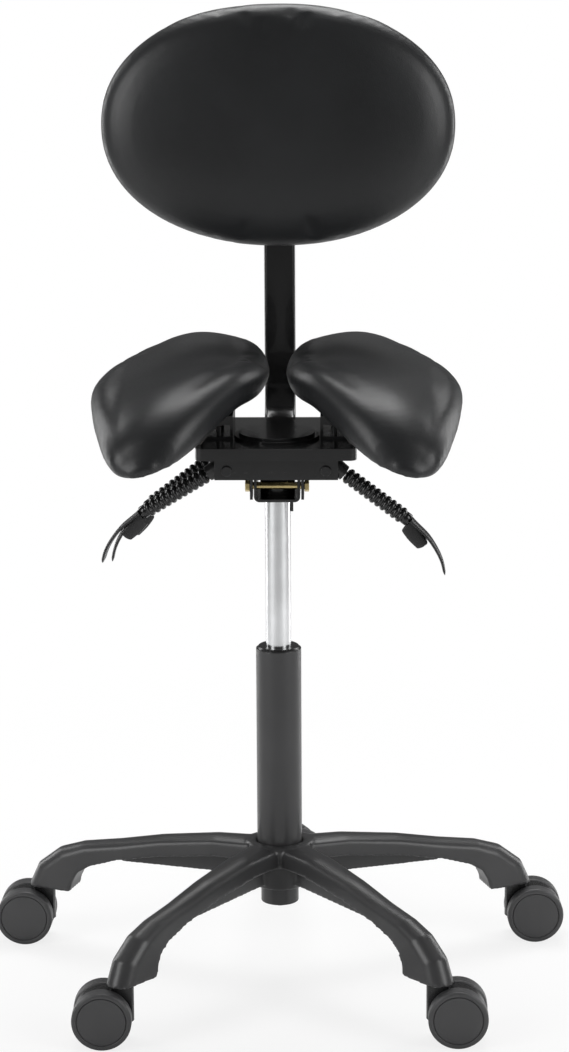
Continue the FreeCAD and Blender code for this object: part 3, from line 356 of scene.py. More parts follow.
def stuffed(piece, pressure, limit, voxel):
    """Puff a cushion with a short cloth run on an even mesh. Each point moves at most limit mm."""
    even = piece.modifiers.new("Even mesh", "REMESH")
    even.mode = "VOXEL"
    even.voxel_size = voxel * MM
    settled(piece)
    before = points_of(piece.data)
    cover = piece.modifiers.new("Cover", "CLOTH")
    rules = cover.settings
    rules.quality = 6
    rules.mass = 0.3
    rules.tension_stiffness = 40
    rules.compression_stiffness = 40
    rules.shear_stiffness = 10
    rules.bending_stiffness = 6
    rules.use_pressure = True
    rules.uniform_pressure_force = pressure
    rules.effector_weights.gravity = 0
    scene = bpy.context.scene
    for step in range(CLOTH_STEPS):
        scene.frame_set(step + 1)
    settled(piece)
    after = points_of(piece.data)
    scene.frame_set(1)
    move = after - before
    length = np.linalg.norm(move, axis=1, keepdims=True)
    move *= np.minimum(1.0, limit * MM / np.maximum(length, 1e-9))
    write_points(piece.data, before + move)


def points_of(mesh):
    """A mesh's points as an array."""
    points = np.empty(len(mesh.vertices) * 3)
    mesh.vertices.foreach_get("co", points)
    return points.reshape(-1, 3)


def write_points(mesh, points):
    """Give a mesh new points."""
    mesh.vertices.foreach_set("co", points.ravel())
    mesh.update()


def subdivided(piece):
    """One smooth subdivision, the same for view and render."""
    finer = piece.modifiers.new("Finer", "SUBSURF")
    finer.levels = 1
    finer.render_levels = 1
    return piece


def turn(degrees, axis):
    """A 3 x 3 turn about one axis."""
    return np.array(Matrix.Rotation(math.radians(degrees), 3, axis))


def eased(table, wanted):
    """Rows of a table at wanted places: a cubic through the rows, by their first
    column, whose slope at each row is the mean slope of its neighbours."""
    table = np.asarray(table, float)
    along = table[:, 0]
    slope = np.gradient(table, along, axis=0)
    index = np.clip(np.searchsorted(along, wanted) - 1, 0, len(along) - 2)
    span = along[index + 1] - along[index]
    t = ((wanted - along[index]) / span)[:, None]
    a, b = table[index], table[index + 1]
    da, db = slope[index] * span[:, None], slope[index + 1] * span[:, None]
    return ((2 * t**3 - 3 * t**2 + 1) * a + (t**3 - 2 * t**2 + t) * da
            + (3 * t**2 - 2 * t**3) * b + (t**3 - t**2) * db)


def arc_points(a, b, c, count):
    """Points on the circle arc from a through b to c, for rows of 2-D points:
    centre = crossing of the chords' normals, then equal turns about it."""
    d = 2 * (a[:, 0] * (b[:, 1] - c[:, 1]) + b[:, 0] * (c[:, 1] - a[:, 1])
             + c[:, 0] * (a[:, 1] - b[:, 1]))
    sa, sb, sc = ((p**2).sum(1) for p in (a, b, c))
    ux = (sa * (b[:, 1] - c[:, 1]) + sb * (c[:, 1] - a[:, 1]) + sc * (a[:, 1] - b[:, 1])) / d
    uy = (sa * (c[:, 0] - b[:, 0]) + sb * (a[:, 0] - c[:, 0]) + sc * (b[:, 0] - a[:, 0])) / d
    centre = np.stack([ux, uy], 1)
    radius = np.linalg.norm(a - centre, axis=1)
    start, through, stop = (np.arctan2(*(p - centre).T[::-1]) for p in (a, b, c))
    full = 2 * np.pi
    ahead = (stop - start) % full
    passes = ((through - start) % full) <= ahead
    sweep = np.where(passes, ahead, ahead - full)
    angle = start[:, None] + sweep[:, None] * np.linspace(0, 1, count)[None, :]
    return centre[:, None, :] + radius[:, None, None] * np.stack([np.cos(angle), np.sin(angle)], -1)


def spun(name, profile, steps=72):
    """A solid from a (radius, height) profile in mm, axis to axis, turned about Z."""
    profile = np.asarray(profile, float)
    angle = np.linspace(0, 2 * np.pi, steps, endpoint=False)
    grid = np.empty((len(profile), steps, 3))
    grid[..., 0] = profile[:, :1] * np.cos(angle)
    grid[..., 1] = profile[:, :1] * np.sin(angle)
    grid[..., 2] = profile[:, 1:]
    return surface(name, grid, ends=False)


def rounded_corner(centre, radius, start, stop, count=6):
    """Points of a corner arc, from start to stop degrees."""
    angle = np.radians(np.linspace(start, stop, count))
    return [(centre[0] + radius * math.cos(a), centre[1] + radius * math.sin(a)) for a in angle]


# ------------------------------------------------------------------- pieces

# The stems' circle, the arms' directions and how each castor trails, in mm and
# degrees; then how far a wheel's axle trails its stem, its height and inner face.
STEM_CIRCLE = 285
FIRST_ARM, ARM_STEP = 19, 72
TRAIL_ANGLES = (3, 25, 177, 180, 0)
TRAIL = 21
WHEEL_HEIGHT = 32
WHEEL_FACE = 8


def make_wheels(settings):
    """Ten wheels: a profile turned about the axle. Radius against width: a blind
    bore, an inner face, a rounded tread with a flat crown, a rim, a ring groove,
    and a face disc that domes by the settings' rise."""
    groove = settings.groove_radius / MM
    deep = settings.groove_depth / MM
    rise = settings.face_rise / MM
    face = 17.2
    profile = [(0, 15), (3.05, 15), (3.05, 0.3), (9, 0.3), (9.4, 1.4), (27.6, 1.4), (28, 0.2), (29.3, 0)]
    profile += rounded_corner((29.3, 2.7), 2.7, -90, 0)
    profile += [(32, 8), (31.9, 8.6), (31.9, 9.4), (32, 10)]
    profile += rounded_corner((29, 15), 3, 0, 90, 8)
    profile += [(groove + 0.9, 18), (groove + 0.45, 17.8), (groove, face - deep),
                (groove - 0.5, face - deep), (groove - 0.9, face)]
    disc = np.linspace(groove - 2, 0, 10)
    profile += [(r, face + rise * (1 - (r / groove) ** 2)) for r in disc]
    for index, trail in enumerate(TRAIL_ANGLES):
        heading = math.radians(FIRST_ARM + index * ARM_STEP)
        stem = STEM_CIRCLE * np.array([math.cos(heading), math.sin(heading), 0])
        for side, name in ((-1, "near"), (1, "far")):
            node = f"castor_{index + 1}_wheel_{name}"
            mesh = spun(f"{node}_soft", profile)
            points = points_of(mesh) / MM
            placed = np.stack([TRAIL + points[:, 0], side * (WHEEL_FACE + points[:, 2]),
                               WHEEL_HEIGHT + points[:, 1]], 1)
            write_points(mesh, (placed @ turn(trail, "Z").T + stem) * MM)
            tidy(mesh)
            piece = shown(f"{node}_soft", mesh, "wheel_plastic", NODES[node]["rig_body"])
            mesh.set_sharp_from_angle(angle=math.radians(50))
            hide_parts(node)


# Each lever: its name, its side, its spot, its turn about Z and its slope.
LEVERS = (
    ("height_lever", (73, -64, 582), 0, 37),
    ("tilt_lever", (-73, -64, 582), 172, 32),
    ("back_lever", (-73, -14, 585), 180, 37),
)


# Where a sleeve ends along its lever and the paddle starts, in mm.
SLEEVE_END = 87.2


def at_lever(points, spot, heading, slope):
    """Points built along +X, moved to a lever's place."""
    pose = turn(heading, "Z") @ turn(slope, "Y")
    return points @ pose.T + np.array(spot, float)


def make_bellows(settings):
    """Three ribbed sleeves. Radius along the lever: valley + rise * sin(pi p / 0.8)
    ^ 0.55 over the first 0.8 of each pitch, then a collar with a lip."""
    start, pitch, ribs, valley, crest = 3.2, 7.0, 11, 6.9, 9.0
    phase = np.linspace(0, 1, 15, endpoint=False)
    ridge = np.where(phase < 0.8, np.abs(np.sin(np.pi * phase / 0.8)) ** settings.rib_shape, 0)
    outside = [(2.4, 3.05), (2.2, 5.8), (2.5, 6.7)]
    for rib in range(ribs):
        outside += list(zip(start + (rib + phase) * pitch, valley + (crest - valley) * ridge))
    foot = start + ribs * pitch
    outside += [(foot, 6.9), (foot + 0.5, 7.15), (foot + 5.2, 7.15), (foot + 5.5, 6.8),
                (foot + 6.2, 6.8), (foot + 6.7, 6.3), (foot + 6.9, 3.05)]
    along = np.array(outside)
    angle = np.linspace(0, 2 * np.pi, 40, endpoint=False)
    grid = np.empty((len(along), len(angle), 3))
    grid[..., 0] = along[:, :1]
    grid[..., 1] = along[:, 1:] * np.cos(angle)
    grid[..., 2] = along[:, 1:] * np.sin(angle)
    for name, spot, heading, slope in LEVERS:
        node = f"{name}_bellows"
        mesh = surface(f"{node}_soft", at_lever(grid.reshape(-1, 3), spot, heading, slope)
                       .reshape(grid.shape), along=True)
        piece = shown(f"{node}_soft", mesh, "black_rubber", NODES[node]["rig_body"])
        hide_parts(node)


def make_paddles(settings):
    """Three paddles, each a block under the root and a blade. The blade is a strip:
    its middle line is an arc through four points, its width tapers as
    1 - s ^ 8 into a rounded tip, and its section is a flat oval."""
    start = SLEEVE_END
    line = np.array([(0, 0, 2.0), (10, 0, 0.6), (27, 0, -2.0), (44, 0, -8.4), (56, 0, -15.4),
                     (67, 0, -25.0)])
    share = np.linspace(0, 1, 40)
    reach = np.linspace(0, 1, len(line))
    spine = eased(np.column_stack([reach, line]), share)[:, 1:]
    slope = np.gradient(spine, axis=0)
    slope /= np.linalg.norm(slope, axis=1, keepdims=True)
    up = np.stack([-slope[:, 2], slope[:, 1], slope[:, 0]], 1)
    half = 10.0 * np.sqrt(np.clip(1 - share**settings.tip_power, 0.0, 1))
    half = np.maximum(half, 0.3)
    thick = np.interp(share, [0, 0.1, 0.6, 0.93, 1], [2.9, 2.5, 1.9, 1.6, 0.3])
    angle = np.linspace(0, 2 * np.pi, 32, endpoint=False)
    across = np.sign(np.cos(angle)) * np.abs(np.cos(angle)) ** 0.35
    over = np.sign(np.sin(angle)) * np.abs(np.sin(angle)) ** 0.8
    grid = (spine[:, None, :] + up[:, None, :] * (thick[:, None] * over)[..., None])
    grid[..., 1] += half[:, None] * across
    grid[..., 0] += start
    block = np.array([(0.3, 4.6, -13.6), (4, 3.8, -15), (12, 0.4, -17.2), (22, -3.0, -18.6),
                      (25, -4.4, -18.4), (28, -6, -14.5), (29.6, -7, -9.4)])
    places = np.linspace(0, 1, 24)
    edge = eased(np.column_stack([np.linspace(0, 1, len(block)), block]), places)[:, 1:]
    middle = (edge[:, 1] + edge[:, 2]) / 2
    height = (edge[:, 1] - edge[:, 2]) / 2
    lump = np.empty((len(places), len(angle), 3))
    lump[..., 0] = start + edge[:, :1]
    lump[..., 1] = 6.5 * across * np.where(places > 0.9, 0.9, 1.0)[:, None]
    lump[..., 2] = middle[:, None] + height[:, None] * np.sign(over) * np.abs(over) ** 0.5
    for name, spot, heading, slope_angle in LEVERS:
        node = f"{name}_paddle"
        work = bmesh.new()
        for part in (grid, lump):
            placed = at_lever(part.reshape(-1, 3), spot, heading, slope_angle).reshape(part.shape)
            work.from_mesh(surface(f"{node}_part", placed))
        mesh = bpy.data.meshes.new(f"{node}_soft")
        work.to_mesh(mesh)
        work.free()
        mesh.shade_smooth()
        mesh.set_sharp_from_angle(angle=math.radians(48))
        piece = shown(f"{node}_soft", mesh, "black_plastic", NODES[node]["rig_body"])
        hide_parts(node)


# The seat half's slices front to rear, in mm: place, inner edge, outer edge,
# inner foot, outer foot and crest, for a half whose inner edge is at 13.
SEAT_SLICES = (
    (-166, 127, 159, 600, 595, 613),
    (-156, 104, 175, 606, 594, 637),
    (-136, 82, 186, 615, 595, 657),
    (-105, 58, 195, 631, 603, 673),
    (-70, 34, 203, 648, 615, 683),
    (-30, 17, 207, 652, 625, 688),
    (20, 13, 207, 648, 629, 690),
    (70, 13, 196, 646, 632, 694),
    (112, 22, 174, 648, 638, 698),
    (140, 46, 148, 655, 649, 697),
    (154, 70, 126, 668, 664, 689),
)


# The cushions' even mesh step, and how far their covers may puff, in mm.
CUSHION_VOXEL = 4.5
SEAT_PUFF, BACK_PUFF = 3.0, 2.5
# The slices' own inner edge and width, and the real half gap and width, in mm.
SLICE_EDGE, SLICE_WIDTH = 13, 194
SEAT_HALF_GAP, SEAT_WIDTH = 9, 192


def seat_rows(count):
    """The slices at even steps of the way their edges travel."""
    table = np.array(SEAT_SLICES, float)
    way = np.concatenate([[0], np.cumsum(np.linalg.norm(np.diff(table[:, [0, 1, 2, 5]], axis=0), axis=1))])
    return eased(np.column_stack([way, table]), np.linspace(0, way[-1], count))[:, 1:]


def seat_edges(rows):
    """The inner and outer edges of slices: from half the gap, widened to the half."""
    stretch = SEAT_WIDTH / SLICE_WIDTH
    return SEAT_HALF_GAP + (rows[:, 1:3].T - SLICE_EDGE) * stretch


def seat_grid(settings, side):
    """The half's cover. Around each slice: a foot line, two side arcs and a crowned
    arc. Along the seat: a cubic through the slices, with both ends drawn to a
    point by sqrt(1 - t^2). The top sinks along the inner roll by
    depth * exp(-((d - offset) / width)^2), d being the way from the inner edge,
    and small creases gather over the rear of the roll."""
    rows = seat_rows(130)
    inside = rows[:, 0]
    inner, outer = seat_edges(rows)
    foot_in, foot_out, crest = rows[:, 3], rows[:, 4], rows[:, 5]
    tuck = 0.16 * (outer - inner)
    rise = crest - (foot_in + foot_out) / 2

    def pair(across, up):
        return np.stack([across, up], 1)

    foot_a, foot_b = pair(inner + tuck, foot_in), pair(outer - tuck, foot_out)
    side_a, side_b = pair(inner, foot_in + 0.42 * rise), pair(outer, foot_out + 0.42 * rise)
    top_a, top_b = pair(inner + tuck, foot_in + 0.85 * rise), pair(outer - tuck, foot_out + 0.85 * rise)
    middle = pair((inner + outer) / 2, crest)
    flat = foot_a[:, None] + (foot_b - foot_a)[:, None] * np.linspace(0, 1, 16)[None, :-1, None]
    ring = np.concatenate([flat, arc_points(foot_b, side_b, top_b, 21)[:, :-1],
                           arc_points(top_b, middle, top_a, 49)[:, :-1],
                           arc_points(top_a, side_a, foot_a, 21)[:, :-1]], 1)
    for _ in range(int(settings.corner_rounds)):
        ring = 0.5 * ring + 0.25 * (np.roll(ring, 1, 1) + np.roll(ring, -1, 1))
    across, up = ring[..., 0], ring[..., 1]
    way = across - inner[:, None]
    along = np.repeat(inside[:, None], across.shape[1], 1)
    top_share = np.clip((up - (foot_in + 0.75 * rise)[:, None]) / (0.12 * rise[:, None]), 0, 1)
    lengthwise = np.exp(-((inside - 5) / 105) ** 4)[:, None]
    valley = np.exp(-((way - settings.valley_offset / MM) / (settings.valley_width / MM)) ** 2)
    up = up - settings.valley_depth / MM * valley * top_share * lengthwise
    crease = np.sin(way * 1.05 + along * 0.42) * np.exp(-((way - 30) / 12) ** 2)
    crease = crease * np.exp(-((along - 92) / 20) ** 2)
    up = up + settings.crease_height / MM * crease * top_share
    grid = np.stack([across, along, up], -1)
    caps = []
    for end, sign in ((0, -1), (-1, 1)):
        step = np.array([0.35, 0.62, 0.82, 0.94, 0.99])
        centre = grid[end].mean(0)
        drawn = np.sqrt(1 - step**2)[:, None, None]
        cap = centre + (grid[end] - centre) * drawn
        cap[..., 1] = grid[end][:, 1] + sign * 4.5 * step[:, None]
        caps.append(cap[::-1] if end == 0 else cap)
    grid = np.concatenate([caps[0], grid, caps[1]], 0)
    grid[..., 0] *= side
    return grid


def make_seat(settings):
    """Both seat halves, their boards, brackets and screws."""
    for side, name in ((1, "right"), (-1, "left")):
        node = f"seat_cushion_{name}"
        piece = shown(f"{node}_soft", surface(f"{node}_soft", seat_grid(settings, side)),
                      "black_vinyl", NODES[node]["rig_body"])
        stuffed(piece, settings.pressure, SEAT_PUFF, CUSHION_VOXEL)
        keep_over_board(piece)
        subdivided(piece)
        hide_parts(node)
        softened(f"seat_board_{name}", 1.2)
        softened(f"saddle_bracket_{name}", 0.8)
    softened("seat_screws", 0.5)


def keep_over_board(piece):
    """Hold the cover's underside at its own height: no point sinks under the
    half's foot line, which runs from the inner foot to the outer foot."""
    points = points_of(piece.data) / MM
    rows = eased(SEAT_SLICES, np.clip(points[:, 1], -166, 154))
    inner, outer = seat_edges(rows)
    share = np.clip((np.abs(points[:, 0]) - inner) / (outer - inner), 0, 1)
    foot = rows[:, 3] + (rows[:, 4] - rows[:, 3]) * share
    inside = (np.abs(points[:, 1]) < 150) & (share > 0.12) & (share < 0.88)
    points[:, 2] = np.where(inside, np.maximum(points[:, 2], foot), points[:, 2])
    write_points(piece.data, points * MM)


# The backrest's oval, in mm: full size, centre height, front, widest place, rear.
BACK_WIDTH, BACK_HEIGHT, BACK_MIDDLE = 394, 268, 931
BACK_FRONT, BACK_WIDEST, BACK_REAR = 106, 143, 167.6
# Powers of the oval, of its front profile across and forward, and how far each
# edge is drawn in at the rear, in mm.
OVAL_POWER, ACROSS_POWER, FORWARD_POWER = 2.12, 2.3, 2.8
REAR_SHRINK = 9.4


def back_grid(settings):
    """The backrest's cover: ovals |x/a|^2.12 + |z/b|^2.12 = 1. In front of the widest
    one b = B u and a = A u^(B/A), and u^2.3 + w^2.8 = 1 for the way w forward; behind
    it both shrink by the cube of the way back, down to a flat rear face."""
    angle = np.linspace(0, 2 * np.pi, 160, endpoint=False)
    power = 2 / OVAL_POWER
    across = np.sign(np.cos(angle)) * np.abs(np.cos(angle)) ** power
    over = np.sign(np.sin(angle)) * np.abs(np.sin(angle)) ** power
    big_width, big_height = BACK_WIDTH / 2, BACK_HEIGHT / 2
    turn_share = np.linspace(0.012, 1, 44) * np.pi / 2
    share = np.sin(turn_share) ** (2 / ACROSS_POWER)
    forward = np.cos(turn_share) ** (2 / FORWARD_POWER)
    deep = BACK_WIDEST - BACK_FRONT + settings.dome / MM
    half_height = big_height * share
    half_width = big_width * share ** (big_height / big_width)
    place = BACK_WIDEST - deep * forward
    behind = np.linspace(0.08, 1, 12)
    shrink = REAR_SHRINK * behind**3
    half_height = np.concatenate([half_height, big_height - shrink])
    half_width = np.concatenate([half_width, big_width - shrink])
    place = np.concatenate([place, BACK_WIDEST + behind * (BACK_REAR - BACK_WIDEST)])
    rings = np.stack([half_width[:, None] * across, np.repeat(place[:, None], len(angle), 1),
                      half_height[:, None] * over], -1)
    inward = np.linspace(0.94, 0.08, 12)[:, None]
    rear = rings[-1] * np.stack([inward, np.ones_like(inward), inward], -1)
    grid = np.concatenate([rings, rear], 0)
    grid[..., 2] += BACK_MIDDLE
    return grid


def make_backrest(settings):
    """The oval pad, its shell, and the clamp, knob and screws that hold it."""
    node = "back_cushion"
    piece = shown(f"{node}_soft", surface(f"{node}_soft", back_grid(settings)), "black_vinyl",
                  NODES[node]["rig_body"])
    stuffed(piece, settings.pressure, BACK_PUFF, CUSHION_VOXEL)
    points = points_of(piece.data)
    points[:, 1] = np.minimum(points[:, 1], BACK_REAR * MM)
    write_points(piece.data, points)
    subdivided(piece)
    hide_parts(node)
    softened("back_board", 2.5, 4)
    softened("back_clamp", 1.2)
    softened("back_knob", 1.4)
    softened("back_screws", 0.5)


def bar_grid(settings):
    """The flat bar: a rounded oblong carried along a level run, a quarter bend of
    46 mm and an upright, both ends drawn in by their own rounding."""
    width, thick, bend, level, upright, top, start = 35, 12, 46, 588, 190, 950, 70
    corner = settings.bar_edge / MM
    run = [((start + s), level, 0.0) for s in (0, 1.5, 20, 45, 64)]
    turned = [(upright - bend + bend * math.sin(a), level + bend - bend * math.cos(a), a)
              for a in np.linspace(0, np.pi / 2, 28)]
    rest = [(upright, z, np.pi / 2) for z in (660, 700, 760, 820, 880, 930, top - 1.5, top)]
    path = np.array(run + turned + rest)
    section = []
    for sx, sy, begin in ((1, 1, 0), (-1, 1, 90), (-1, -1, 180), (1, -1, 270)):
        section += rounded_corner((sx * (width / 2 - corner), sy * (thick / 2 - corner)), corner,
                                  begin, begin + 90, 9)
    section = np.array(section)
    drawn = np.ones(len(path))
    drawn[0] = drawn[-1] = 0.93
    away = np.stack([np.zeros(len(path)), np.sin(path[:, 2]), -np.cos(path[:, 2])], 1)
    spine = np.stack([np.zeros(len(path)), path[:, 0], path[:, 1]], 1)
    grid = spine[:, None, :] + away[:, None, :] * (section[None, :, 1:] * drawn[:, None, None])
    grid[..., 0] += section[None, :, 0] * drawn[:, None]
    return grid


def make_bar(settings):
    """The back bar, its bracket and the pin it turns on."""
    mesh = surface("back_bar_soft", bar_grid(settings))
    mesh.set_sharp_from_angle(angle=math.radians(40))
    piece = shown("back_bar_soft", mesh, "steel_black", NODES["back_bar"]["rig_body"])
    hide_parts("back_bar")
    softened("back_bracket", 1.0)
    softened("back_pivot_pin", 0.6)


# Rigid pieces whose edges are rounded in place, with the rounding in mm.
COLUMN_PIECES = {"outer_tube": 0.8, "guide_bush": 0.5, "gas_cylinder": 0.5, "piston_rod": 0.3,
                 "bump_stop": 0.8, "rod_clip": 0.2, "release_pin": 0.4}
MECHANISM_PIECES = {"hub_bracket": 1.0, "pivot_bolt": 0.7, "seat_plate": 0.7, "cross_channel": 0.7,
                    "channel_screws": 0.6, "lever_bushes": 0.8, "height_lever_rod": 0.4,
                    "tilt_lever_rod": 0.4, "back_lever_rod": 0.4}


# -------------------------------------------------------------------- stage

def area_light(name, spot, aim, size, power, shape_ratio=1.0):
    """A soft rectangle of light at spot that faces aim, size wide."""
    data = bpy.data.lights.new(name, "AREA")
    data.shape = "RECTANGLE"
    data.size = size
    data.size_y = size * shape_ratio
    data.energy = power
    lamp = bpy.data.objects.new(name, data)
    bpy.context.scene.collection.objects.link(lamp)
    lamp.location = spot
    lamp.rotation_euler = (Vector(spot) - Vector(aim)).to_track_quat("Z", "Y").to_euler()


def make_world(settings):
    """White to the eye and in reflections, greyer as a light."""
    world = bpy.data.worlds.new("Studio")
    bpy.context.scene.world = world
    world.use_nodes = True
    tree = world.node_tree
    path = tree.nodes.new("ShaderNodeLightPath")
    shade = tree.nodes["Background"]
    either = tree.nodes.new("ShaderNodeMath")
    either.operation = "MAXIMUM"
    tree.links.new(path.outputs["Is Camera Ray"], either.inputs[0])
    gloss = tree.nodes.new("ShaderNodeMath")
    gloss.operation = "MULTIPLY_ADD"
    tree.links.new(path.outputs["Is Glossy Ray"], gloss.inputs[0])
    gloss.inputs[1].default_value = settings.gloss_level - settings.ambient
    gloss.inputs[2].default_value = settings.ambient
    tree.links.new(gloss.outputs[0], either.inputs[1])
    tree.links.new(either.outputs[0], shade.inputs["Strength"])
    shade.inputs["Color"].default_value = (1, 1, 1, 1)


def make_floor(settings):
    """A pale floor that keeps a part of the shadow that falls on it."""
    half = 6.0
    mesh = bpy.data.meshes.new("floor")
    mesh.from_pydata([(-half, -half, 0), (half, -half, 0), (half, half, 0), (-half, half, 0)], [],
                     [(0, 1, 2, 3)])
    recipe = Recipe("floor")
    recipe.finish(Base_Color=grey(0.86), Roughness=0.7)
    glow = recipe.make("ShaderNodeEmission", None, {"Color": grey(1.0), "Strength": 1.0})
    spot = recipe.make("ShaderNodeTexCoord", output="Object")
    away = recipe.make("ShaderNodeVectorMath", {"operation": "LENGTH"}, {0: spot}, output="Value")
    share = away.between(0.3, 1.3) * (1 - settings.floor_glow) + settings.floor_glow
    seen = recipe.make("ShaderNodeLightPath", output="Is Camera Ray") * share
    matt = Signal(recipe, recipe.shader.outputs[0])
    mixed = recipe.make("ShaderNodeMixShader", None, {0: seen, 1: matt, 2: glow})
    recipe.tree.links.new(mixed.socket, recipe.tree.nodes["Material Output"].inputs["Surface"])
    mesh.materials.append(recipe.material)
    floor = bpy.data.objects.new("floor", mesh)
    bpy.context.scene.collection.objects.link(floor)


def make_camera():
    """A long lens from in front and a little above, as far off as the view asks."""
    data = bpy.data.cameras.new("Camera")
    data.lens = 116.0
    data.sensor_width = 36.0
    data.clip_end = 30.0
    camera = bpy.data.objects.new("Camera", data)
    bpy.context.scene.collection.objects.link(camera)
    turned = (Matrix.Rotation(math.radians(1.0), 4, "Z") @ Matrix.Rotation(math.radians(76.5), 4, "X")
              @ Matrix.Rotation(math.radians(-0.3), 4, "Z"))
    camera.matrix_world = Matrix.Translation((0.0702, -3.6085, 1.375)) @ turned
    bpy.context.scene.camera = camera


# ----------------------------------------------------------------- settings

def length(name, size, about):
    """A size in metres that the panel shows in the scene's units."""
    return bpy.props.FloatProperty(name=name, default=size * MM, description=about,
                                   subtype="DISTANCE", unit="LENGTH", precision=5)


def number(name, default, about, **limits):
    """A plain number."""
    return bpy.props.FloatProperty(name=name, default=default, description=about, **limits)


class BaseSettings(bpy.types.PropertyGroup):
    voxel: length("Mesh step", 2.0, "Edge length of the base's even mesh")
    rounds: number("Rounding", 3.0, "How many times the base's edges are eased")


class CastorSettings(bpy.types.PropertyGroup):
    groove_radius: length("Groove radius", 26.6, "Radius of the ring groove in a wheel's face")
    groove_depth: length("Groove depth", 0.8, "Depth of the ring groove")
    face_rise: length("Face rise", 0.5, "How far the face disc domes at its middle")
    hood_edge: length("Hood edge", 1.2, "Rounding of the hood's edges")


class LeverSettings(bpy.types.PropertyGroup):
    rib_shape: number("Rib shape", 0.55, "Smaller is squarer ribs", min=0.2, max=2.0)
    tip_power: number("Tip power", 9.0, "Larger is a blunter paddle tip", min=2.0, max=30.0)


class SeatSettings(bpy.types.PropertyGroup):
    valley_offset: length("Valley offset", 37.0, "Way from the inner edge to the valley")
    valley_width: length("Valley width", 11.0, "Half width of the valley")
    valley_depth: length("Valley depth", 3.4, "How far the top sinks at the valley")
    crease_height: length("Crease height", 0.5, "Height of the small creases at the rear")
    corner_rounds: number("Corner rounds", 3.0, "How far the slice's corners are eased")
    pressure: number("Filling", 4.0, "Pressure of the filling during the cloth run")


class BackSettings(bpy.types.PropertyGroup):
    dome: length("Dome", 2.4, "How far the pad's face domes")
    pressure: number("Filling", 4.0, "Pressure of the filling during the cloth run")
    bar_edge: length("Bar edge", 4.2, "Rounding of the back bar's edges")


class StageSettings(bpy.types.PropertyGroup):
    ambient: number("Ambient", 0.12, "Strength of the surroundings as a light")
    gloss_level: number("Reflected level", 0.12, "Strength of the surroundings in reflections")
    floor_glow: number("Floor glow", 0.8, "Share of the floor's own white to the eye")
    left_power: number("Left light", 42.0, "Power of the left front light in watts")
    right_power: number("Right light", 36.0, "Power of the right front light in watts")
    rim_power: number("Rim lights", 14.0, "Power of each rear side light in watts")
    top_power: number("Top light", 46.0, "Power of the top rear light in watts")


SETTINGS = {
    "stool_base": BaseSettings,
    "stool_castors": CastorSettings,
    "stool_levers": LeverSettings,
    "stool_seat": SeatSettings,
    "stool_back": BackSettings,
    "stool_stage": StageSettings,
}


# ---------------------------------------------------------------- operators

class STOOL_OT_base(bpy.types.Operator):
    """Build the five-armed base and its stems"""
    bl_idname = "stool.base"
    bl_label = "Base"

    def execute(self, context):
        settings = context.scene.stool_base
        remeshed("star_base", settings.voxel / MM, int(settings.rounds))
        softened("castor_stems", 0.5)
        return {"FINISHED"}


class STOOL_OT_castors(bpy.types.Operator):
    """Build the five twin-wheel castors"""
    bl_idname = "stool.castors"
    bl_label = "Castors"

    def execute(self, context):
        settings = context.scene.stool_castors
        make_wheels(settings)
        for index in range(len(TRAIL_ANGLES)):
            softened(f"castor_{index + 1}_hood", settings.hood_edge / MM)
            softened(f"castor_{index + 1}_axle", 0.3)
        return {"FINISHED"}


class STOOL_OT_column(bpy.types.Operator):
    """Build the gas column"""
    bl_idname = "stool.column"
    bl_label = "Column"

    def execute(self, context):
        for node, width in COLUMN_PIECES.items():
            softened(node, width)
        return {"FINISHED"}


class STOOL_OT_mechanism(bpy.types.Operator):
    """Build the seat plate, its channel, bracket, bolt and rods"""
    bl_idname = "stool.mechanism"
    bl_label = "Mechanism"

    def execute(self, context):
        for node, width in MECHANISM_PIECES.items():
            softened(node, width)
        return {"FINISHED"}


class STOOL_OT_levers(bpy.types.Operator):
    """Build the three levers' ribbed sleeves and paddles"""
    bl_idname = "stool.levers"
    bl_label = "Levers"

    def execute(self, context):
        settings = context.scene.stool_levers
        make_bellows(settings)
        make_paddles(settings)
        return {"FINISHED"}


class STOOL_OT_seat(bpy.types.Operator):
    """Build both seat halves"""
    bl_idname = "stool.seat"
    bl_label = "Seat"

    def execute(self, context):
        make_seat(context.scene.stool_seat)
        return {"FINISHED"}


class STOOL_OT_back(bpy.types.Operator):
    """Build the back bar and the backrest"""
    bl_idname = "stool.back"
    bl_label = "Back"

    def execute(self, context):
        settings = context.scene.stool_back
        make_bar(settings)
        make_backrest(settings)
        return {"FINISHED"}


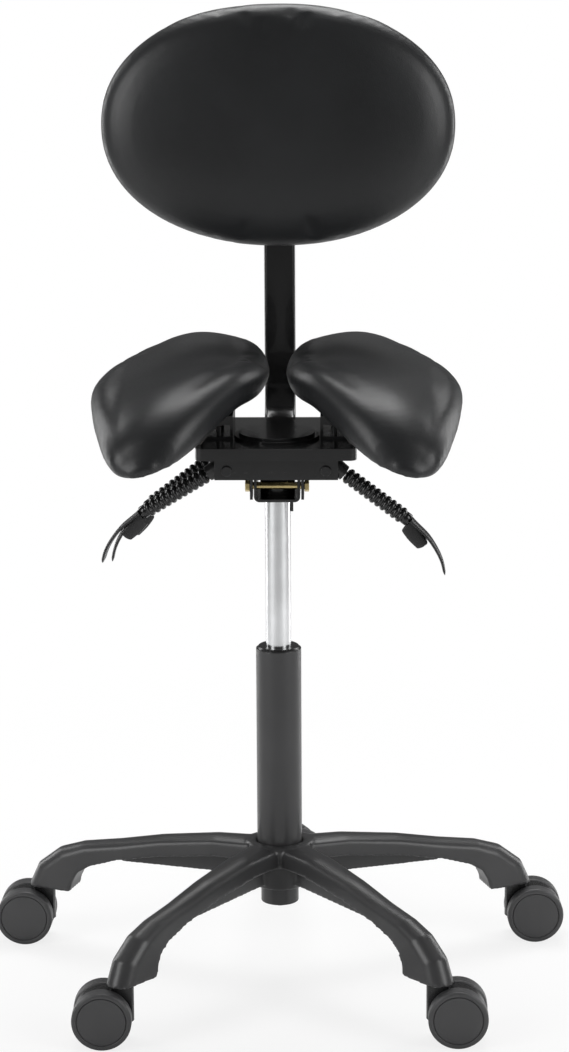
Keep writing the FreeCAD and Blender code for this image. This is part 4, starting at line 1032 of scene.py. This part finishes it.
class STOOL_OT_stage(bpy.types.Operator):
    """Set the floor, the lights, the surroundings and the camera"""
    bl_idname = "stool.stage"
    bl_label = "Stage"

    def execute(self, context):
        settings = context.scene.stool_stage
        make_world(settings)
        make_floor(settings)
        middle = (0.0, 0.0, 0.6)
        area_light("left_light", (-2.3, -1.6, 1.5), middle, 1.3, settings.left_power, 1.6)
        area_light("right_light", (2.3, -1.5, 1.4), middle, 1.2, settings.right_power, 1.6)
        for side, name in ((-1, "left"), (1, "right")):
            area_light(f"{name}_rim", (side * 1.5, 1.1, 0.9), (0.0, 0.1, 0.8), 0.4,
                       settings.rim_power, 5.0)
        area_light("top_light", (0.1, 0.9, 2.6), (0.0, 0.0, 0.8), 1.6, settings.top_power)
        make_camera()
        context.scene.view_settings.view_transform = "Standard"
        return {"FINISHED"}


OPERATORS = (STOOL_OT_base, STOOL_OT_castors, STOOL_OT_column, STOOL_OT_mechanism, STOOL_OT_levers,
             STOOL_OT_seat, STOOL_OT_back, STOOL_OT_stage)


class STOOL_PT_panel(bpy.types.Panel):
    """The stool's steps in the 3D view's sidebar"""
    bl_idname = "STOOL_PT_panel"
    bl_label = "Saddle stool"
    bl_space_type = "VIEW_3D"
    bl_region_type = "UI"
    bl_category = "Stool"

    def draw(self, context):
        for step in OPERATORS:
            self.layout.operator(step.bl_idname)
        for name, group in SETTINGS.items():
            box = self.layout.box()
            for setting in group.__annotations__:
                box.prop(getattr(context.scene, name), setting)


def register():
    """Register the settings, the operators and the panel."""
    for name, group in SETTINGS.items():
        bpy.utils.register_class(group)
        setattr(bpy.types.Scene, name, bpy.props.PointerProperty(type=group))
    for item in (*OPERATORS, STOOL_PT_panel):
        bpy.utils.register_class(item)


def unregister():
    """Take it all back, last first."""
    for item in reversed((*OPERATORS, STOOL_PT_panel)):
        bpy.utils.unregister_class(item)
    for name, group in reversed(SETTINGS.items()):
        delattr(bpy.types.Scene, name)
        bpy.utils.unregister_class(group)


def main():
    """Build the stool over its frame."""
    register()
    MATERIALS.update(make_materials())
    for node, piece in NODES.items():
        piece.data.materials.clear()
        piece.data.materials.append(MATERIALS[SLOT_OF[node]])
    for step in OPERATORS:
        group, name = step.bl_idname.split(".")
        getattr(getattr(bpy.ops, group), name)()


if __name__ == "__main__":
    main()
